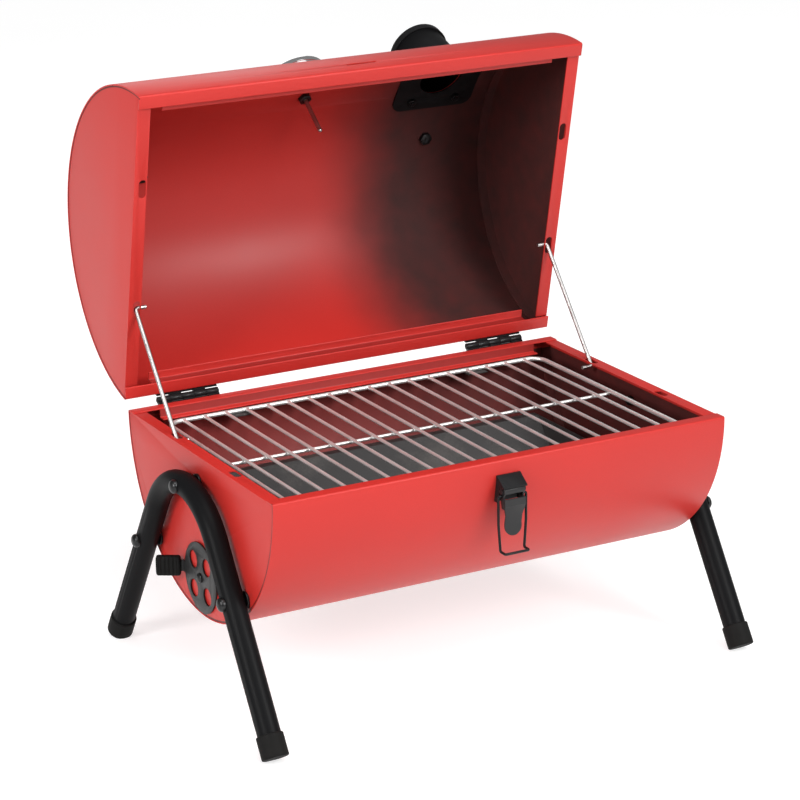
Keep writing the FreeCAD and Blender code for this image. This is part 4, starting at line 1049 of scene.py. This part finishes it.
# ------------------------------------------------------------- legs and dampers
def make_legs():
    """Bent tubes, moulded feet, spacers, domed screws and nuts."""
    for side in ("left", "right"):
        dressed(f"leg_{side}", f"leg_tube_{side}", black_coat(), "base", "black_tube", 0, 0, 0.2, 50.0)
        for end in ("front", "rear"):
            node = f"foot_cap_{end}_{side}"
            dressed(node, f"foot_{end}_{side}", rubber(), "base", "black_rubber", 0.35, 2)
    boxes = islands("leg_screws")
    tip = SCREW_DOME - (boxes[0][1].x - boxes[0][0].x) / MM
    shank = [(0.0, tip), (SCREW_SHANK - 0.3, tip), (SCREW_SHANK, tip + 0.4), (SCREW_SHANK, -SCREW_FLANGE)]
    flange = [(SCREW_HEAD - 0.6, -SCREW_FLANGE), (SCREW_HEAD, 0.5 - SCREW_FLANGE)]
    template = lathe("screw", shank + flange + dome_profile(SCREW_HEAD, SCREW_DOME, 0.5), steps=40)
    places = []
    for low, high in boxes:
        sign = 1 if low.x > 0 else -1
        outer = high.x if sign > 0 else low.x
        middle = (low + high) / 2
        places.append((Vector((outer - sign * SCREW_DOME * MM, middle.y, middle.z)), (sign, 0, 0)))
    screws = repeated("leg_screw_set", template, places, dark_fastener())
    finish_piece(screws, dark_fastener(), "base", "plated_fasteners", "leg_screws")
    for node, name in (("leg_washers", "leg_spacer_set"), ("leg_nuts", "leg_nut_set")):
        dressed(node, name, dark_fastener(), "base", "plated_fasteners")


def grip_body(name, length, width, thick, ribs):
    """Moulded grip from z = 0 to its length, ribbed on both faces."""
    sides = 40
    stations = 64
    end_share = 0.12
    bm = bmesh.new()
    rings = []
    for i in range(stations + 1):
        share = i / stations
        ends = min(1.0, min(share, 1 - share) * 9)
        shrink = 0.80 + 0.20 * math.sqrt(max(0.0, 1 - (1 - ends) ** 2))
        ribbed = end_share < share < 1 - end_share
        rib = 0.93 + 0.07 * math.cos(2 * math.pi * share * ribs) if ribbed else 1.0
        ring = []
        for cosine, sine in circle(1.0, sides):
            x = width / 2 * math.copysign(abs(cosine) ** 0.5, cosine) * shrink
            y = thick / 2 * math.copysign(abs(sine) ** 0.55, sine) * shrink * rib
            ring.append(bm.verts.new((x, y, length * share)))
        rings.append(ring)
    skinned(bm, rings)
    bm.faces.new(list(reversed(rings[0])))
    bm.faces.new(rings[-1])
    bmesh.ops.recalc_face_normals(bm, faces=bm.faces)
    return from_bmesh(name, bm, 50.0)


def make_dampers():
    """Turning discs with a bent tab, moulded grips and domed rivets."""
    ribs = bpy.context.scene.grill_fittings.grip_ribs
    for side, sign in (("left", -1), ("right", 1)):
        body = f"damper_{side}"
        dressed(f"damper_disc_{side}", f"damper_plate_{side}", grey_steel(), body, "black_steel", 0.3, 2)
        dressed(f"damper_rivet_{side}", f"damper_stud_{side}", dark_fastener(), "base", "plated_fasteners",
                0.2, 2)
        grip = grip_body(f"damper_knob_{side}", GRIP_LENGTH, GRIP_WIDTH, GRIP_THICKNESS, ribs)
        node = f"damper_grip_{side}"
        low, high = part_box(node)
        centre = (low + high) / 2
        along = Vector((sign * math.sin(TAB_ANGLE), math.cos(TAB_ANGLE), 0))
        turn = Matrix((Vector((0, 0, 1)), along.cross(Vector((0, 0, 1))), along)).transposed().to_4x4()
        middle = Matrix.Translation((0, 0, -GRIP_LENGTH / 2 * MM))
        grip.data.transform(Matrix.Translation(centre) @ turn @ middle)
        finish_piece(grip, rubber(), body, "black_rubber", node)


# -------------------------------------------------------------- hinges, latch
def make_hinges():
    """Rolled leaves, pins, and domed rivets set by nodes."""
    for side in ("left", "right"):
        for body in ("base", "lid"):
            node = f"hinge_{body}_leaf_{side}"
            dressed(node, f"{body}_leaf_{side}", black_enamel(), body, "black_steel", 0.25, 2)
    dressed("hinge_pins", "hinge_pin_pair", dark_fastener(), "base", "plated_fasteners", 0.2)
    under = -RIVET_GRIP
    closed_head = [(0.0, under - 1.6), (1.9, under - 1.5), (3.1, under - 0.5), (3.1, under)]
    shank = [(RIVET_SHANK, -RIVET_GRIP), (RIVET_SHANK, 0.0), (RIVET_HEAD, 0.0)]
    profile = closed_head + shank + dome_profile(RIVET_HEAD, RIVET_DOME, 0.25)
    bowl_axis = Vector((0, 0, RIM * MM))
    lid_axis = LID_OPENING @ Vector((0, 0, LID_AXIS * MM))
    for body, axis in (("base", bowl_axis), ("lid", lid_axis)):
        node = f"hinge_{body}_rivets"
        places = []
        for low, high in islands(node):
            middle = (low + high) / 2
            radial = Vector((0, middle.y - axis.y, middle.z - axis.z)).normalized()
            places.append((Vector((middle.x, axis.y, axis.z)) + radial * (RADIUS + HINGE_LEAF) * MM, radial))
        template = lathe("rivet", profile, steps=28)
        rivets = repeated(f"{body}_hinge_rivet_set", template, places, dark_fastener())
        finish_piece(rivets, dark_fastener(), body, "plated_fasteners", node)


def make_latch():
    """Bracket with hood, lever with thumb tongue, wire bail."""
    dressed("latch_bracket", "latch_hood", black_enamel(), "base", "black_steel", 0.32, 3)
    dressed("latch_rivets", "latch_rivet_pair", dark_fastener(), "base", "plated_fasteners", 0.15)
    dressed("latch_pivot_pin", "latch_pin", dark_fastener(), "base", "black_steel", 0.25)
    dressed("latch_lever", "latch_thumb_lever", grey_steel(), "latch_lever", "black_steel", 0.3, 3)
    dressed("latch_bail", "latch_wire", black_enamel(), "latch_bail", "black_steel", 0, 0, 0.2, 50.0)


# ------------------------------------------------------- chimney, dial, handle
def make_chimney():
    """Stack and saddle, turning cap, inner plate, screws and nuts."""
    dressed("chimney_tube", "chimney_stack", black_coat(), "lid", "black_steel", 0.35, 3)
    dressed("chimney_inner_plate", "chimney_backing", black_enamel(), "lid", "black_steel", 0.3, 3)
    for node, name, bevel in (("chimney_screws", "chimney_screw_set", 0.2),
                              ("chimney_nuts", "chimney_nut_set", 0.35),
                              ("chimney_cap_rivet", "chimney_stud", 0.2)):
        dressed(node, name, dark_fastener(), "lid", "plated_fasteners", bevel, 3)
    dressed("chimney_cap", "chimney_lid", black_enamel(), "chimney_cap", "black_steel", 0.5, 3)


def dial_frame():
    """Matrix from the dial's own axes (Z outwards, Y up the face, metres) to rest."""
    joint = JOINTS["thermometer_needle_turn"]
    out = -Vector(joint["axis"]).normalized()
    up = out.cross(Vector((1, 0, 0)))
    turn = Matrix((Vector((1, 0, 0)), up, out)).transposed().to_4x4()
    return Matrix.Translation(Vector(joint["pos_m"]) - out * NEEDLE_RADIUS * MM) @ turn


def dial_case(seat, base, top):
    """Spun case with a bead, a rolled bezel and a collar round the stem."""
    rim = DIAL_RADIUS
    inner = rim - DIAL_WALL
    back = [(STEM_HOLE, seat), (DIAL_COLLAR, seat), (DIAL_COLLAR, base),
            (rim - 1.6, base), (rim - 0.5, base + 0.5), (rim, base + 1.6)]
    bead = [(rim, top - 6.4), (rim - 0.5, top - 6.0), (rim - 0.5, top - 5.4), (rim, top - 5.0)]
    bezel = [(rim, top - 1.6), (rim - 0.4, top - 0.6), (rim - 1.2, top - 0.05), (rim - 2.0, top - 0.05),
             (DIAL_OPENING + 0.3, top - 0.4), (DIAL_OPENING, top - 1.0), (DIAL_OPENING, top - DIAL_WALL)]
    inside = [(inner, top - DIAL_WALL), (inner, base + DIAL_WALL), (STEM_HOLE, base + DIAL_WALL)]
    return lathe("dial_case", back + bead + bezel + inside, steps=96, closed=True)


def dial_print(ticks, level):
    """Tick marks and plain numbers round the dial, as one mesh."""
    sweep = [math.radians(SCALE_START - SCALE_SWEEP * k / ticks) for k in range(ticks + 1)]
    marks = []
    for k, angle in enumerate(sweep):
        reach = LONG_TICK if k % TICKS_PER_NUMERAL == 0 else SHORT_TICK
        mark = block("tick", (SCALE_RADIUS - reach, -TICK_HALF, level),
                     (SCALE_RADIUS, TICK_HALF, level + INK_HEIGHT))
        mark.data.transform(Matrix.Rotation(angle, 4, "Z"))
        marks.append(mark)
    for k in range(0, ticks + 1, TICKS_PER_NUMERAL):
        reading = str(k * DEGREES_PER_TICK + LOWEST_READING)
        marks.append(numeral(reading, NUMERAL_HEIGHT, NUMERAL_RADIUS, sweep[k], level))
    return merged(marks, "dial_print")


def make_thermometer():
    """Chrome case and bezel, printed dial, needle, glass, stem and nut."""
    base = RADIUS + DIAL_STANDOFF
    top = base + DIAL_DEPTH
    face = top - PLATE_DROP
    level = face + PLATE_THICKNESS
    fit = DIAL_RADIUS - DIAL_WALL - DIAL_FIT
    plate = [(PLATE_HOLE, face), (fit, face), (fit, level), (PLATE_HOLE, level)]
    glass = [(0.0, top - 2.95), (fit, top - 2.95), (fit, top - 1.65), (20.0, top - 1.58), (0.0, top - 1.55)]
    white = plain_paint("dial paint", (0.84, 0.84, 0.82), 0.45)
    ink = plain_paint("dial ink", (0.015, 0.015, 0.015), 0.5)
    red = plain_paint("needle paint", (0.55, 0.02, 0.02), 0.35)
    for piece, material, slot, nodes in (
            (dial_case(RADIUS + DIAL_FIT, base, top), chrome(), "bright_chrome", ["thermometer_case"]),
            (lathe("dial_plate", plate, steps=96, closed=True), white, "dial_white", ["thermometer_dial"]),
            (lathe("dial_glass", glass, steps=96), clear_glass(), "lens_glass", ["thermometer_lens"]),
            (dial_print(bpy.context.scene.grill_fittings.ticks, level), ink, "black_plastic", [])):
        piece.data.transform(dial_frame())
        finish_piece(piece, material, "lid", slot, *nodes)
    dressed("thermometer_needle", "dial_needle", red, "thermometer_needle", "needle_red", 0.1)
    dressed("thermometer_stem", "dial_stem", drawn_steel(), "lid", "bright_chrome", 0, 0, 0.3)
    dressed("thermometer_nut", "dial_nut", dark_fastener(), "lid", "plated_fasteners", 0.4)


def numeral(text, height, radius, angle, level):
    """Raised number, upright, at a place round the dial (millimetres)."""
    half_ink = INK_HEIGHT / 2
    curve = bpy.data.curves.new("numeral", "FONT")
    curve.body = text
    curve.size = height * MM
    curve.extrude = half_ink * MM
    curve.align_x = "CENTER"
    curve.align_y = "CENTER"
    obj = bpy.data.objects.new("numeral", curve)
    bpy.context.scene.collection.objects.link(obj)
    mesh = bpy.data.meshes.new_from_object(obj.evaluated_get(bpy.context.evaluated_depsgraph_get()))
    bpy.data.objects.remove(obj)
    place = Vector((radius * math.cos(angle), radius * math.sin(angle), level + half_ink))
    mesh.transform(Matrix.Translation(place * MM))
    return new_object("numeral", mesh)


def make_handle():
    """Moulded grip with grooved ends, posts and bolts."""
    settings = bpy.context.scene.grill_fittings
    low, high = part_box("handle_grip")
    centre = (low + high) / 2
    half = (high.x - low.x) / 2 / MM
    radius = (high.z - low.z) / 2 / MM
    flat = radius - HANDLE_END
    profile = [(0.0, -half), (flat, -half)]
    profile += [(flat + HANDLE_END * math.sin(a), -half + HANDLE_END * (1 - math.cos(a)))
                for a in np.linspace(0.2, math.pi / 2, 6)]
    floor = radius - GROOVE_DEPTH
    for k in range(settings.handle_rings):
        at = -half + GROOVE_START + GROOVE_PITCH * k
        profile += [(radius, at - GROOVE_HALF), (floor, at - GROOVE_FLOOR),
                    (floor, at + GROOVE_FLOOR), (radius, at + GROOVE_HALF)]
    profile += [(radius, -half + HANDLE_SHOULDER), (radius - 0.6, -half * 0.62), (radius - 0.2, -half * 0.2)]
    profile += [(r, -z) for r, z in reversed(profile)]
    grip = lathe("lid_grip", profile, centre / MM, (1, 0, 0), 72, 50.0)
    finish_piece(grip, black_plastic(), "lid", "black_plastic", "handle_grip")
    dressed("handle_posts", "handle_post_pair", black_enamel(), "lid", "black_steel", 0.4)
    dressed("handle_bolts", "handle_bolt_pair", dark_fastener(), "lid", "plated_fasteners", 0.4)


def make_tray():
    """Charcoal tray, its feet and the grate's brackets."""
    for node, name, bevel in (("charcoal_tray", "ash_tray", 0.35), ("tray_feet", "tray_foot_pair", 0.3),
                              ("grate_supports", "grate_bracket_set", 0.3)):
        dressed(node, name, sooty_enamel(), "base", "dark_enamel", bevel)


class GRILL_OT_stage(bpy.types.Operator):
    """Floor, lights and camera."""
    bl_idname = "grill.stage"
    bl_label = "Studio"

    def execute(self, context):
        make_stage()
        return {"FINISHED"}


class GRILL_OT_shells(bpy.types.Operator):
    """Folded barrel wraps of bowl and lid."""
    bl_idname = "grill.shells"
    bl_label = "Barrel Wraps"

    def execute(self, context):
        make_shells()
        return {"FINISHED"}


class GRILL_OT_end_caps(bpy.types.Operator):
    """Half-round end plates."""
    bl_idname = "grill.end_caps"
    bl_label = "End Plates"

    def execute(self, context):
        make_end_caps()
        return {"FINISHED"}


class GRILL_OT_tray(bpy.types.Operator):
    """Tray, tray feet and grate brackets."""
    bl_idname = "grill.tray"
    bl_label = "Charcoal Tray"

    def execute(self, context):
        make_tray()
        return {"FINISHED"}


class GRILL_OT_grate(bpy.types.Operator):
    """Rim wire, cross wire and bars."""
    bl_idname = "grill.grate"
    bl_label = "Cooking Grate"

    def execute(self, context):
        make_grate()
        return {"FINISHED"}


class GRILL_OT_stay_rods(bpy.types.Operator):
    """Wire rods that hold the lid open."""
    bl_idname = "grill.stay_rods"
    bl_label = "Stay Rods"

    def execute(self, context):
        make_stay_rods()
        return {"FINISHED"}


class GRILL_OT_legs(bpy.types.Operator):
    """Bent tubes, feet and their fasteners."""
    bl_idname = "grill.legs"
    bl_label = "Legs"

    def execute(self, context):
        make_legs()
        return {"FINISHED"}


class GRILL_OT_dampers(bpy.types.Operator):
    """Turning discs, grips and rivets."""
    bl_idname = "grill.dampers"
    bl_label = "Air Dampers"

    def execute(self, context):
        make_dampers()
        return {"FINISHED"}


class GRILL_OT_hinges(bpy.types.Operator):
    """Leaves, pins and rivets."""
    bl_idname = "grill.hinges"
    bl_label = "Hinges"

    def execute(self, context):
        make_hinges()
        return {"FINISHED"}


class GRILL_OT_latch(bpy.types.Operator):
    """Hood, lever, pin and wire bail."""
    bl_idname = "grill.latch"
    bl_label = "Latch"

    def execute(self, context):
        make_latch()
        return {"FINISHED"}


class GRILL_OT_chimney(bpy.types.Operator):
    """Stack, cap, plate and screws."""
    bl_idname = "grill.chimney"
    bl_label = "Chimney"

    def execute(self, context):
        make_chimney()
        return {"FINISHED"}


class GRILL_OT_thermometer(bpy.types.Operator):
    """Case, dial, needle, glass and stem."""
    bl_idname = "grill.thermometer"
    bl_label = "Thermometer"

    def execute(self, context):
        make_thermometer()
        return {"FINISHED"}


class GRILL_OT_handle(bpy.types.Operator):
    """Grip, posts and bolts."""
    bl_idname = "grill.handle"
    bl_label = "Handle"

    def execute(self, context):
        make_handle()
        return {"FINISHED"}


OPERATORS = (
    GRILL_OT_stage, GRILL_OT_shells, GRILL_OT_end_caps, GRILL_OT_tray, GRILL_OT_grate,
    GRILL_OT_stay_rods, GRILL_OT_legs, GRILL_OT_dampers, GRILL_OT_hinges, GRILL_OT_latch,
    GRILL_OT_chimney, GRILL_OT_thermometer, GRILL_OT_handle,
)
SETTINGS = {"grill_body": GrillBodySettings, "grill_fittings": GrillFittingSettings,
            "grill_stage": GrillStageSettings}


class GRILL_PT_panel(bpy.types.Panel):
    """Sidebar list of the grill's builders and sizes."""
    bl_idname = "GRILL_PT_panel"
    bl_label = "Portable Grill"
    bl_space_type = "VIEW_3D"
    bl_region_type = "UI"
    bl_category = "Grill"

    def draw(self, context):
        for operator in OPERATORS:
            self.layout.operator(operator.bl_idname)
        for key, group in SETTINGS.items():
            column = self.layout.box().column()
            for name in group.__annotations__:
                column.prop(getattr(context.scene, key), name)


CLASSES = (*SETTINGS.values(), *OPERATORS, GRILL_PT_panel)


def register():
    """Add the classes and the settings."""
    for cls in CLASSES:
        bpy.utils.register_class(cls)
    for key, group in SETTINGS.items():
        setattr(bpy.types.Scene, key, bpy.props.PointerProperty(type=group))


def unregister():
    """Take the settings and the classes away."""
    for key in SETTINGS:
        delattr(bpy.types.Scene, key)
    for cls in reversed(CLASSES):
        bpy.utils.unregister_class(cls)


def main():
    """Build every group in turn."""
    register()
    for operator in OPERATORS:
        group, name = operator.bl_idname.split(".")
        getattr(getattr(bpy.ops, group), name)()


if __name__ == "__main__":
    main()
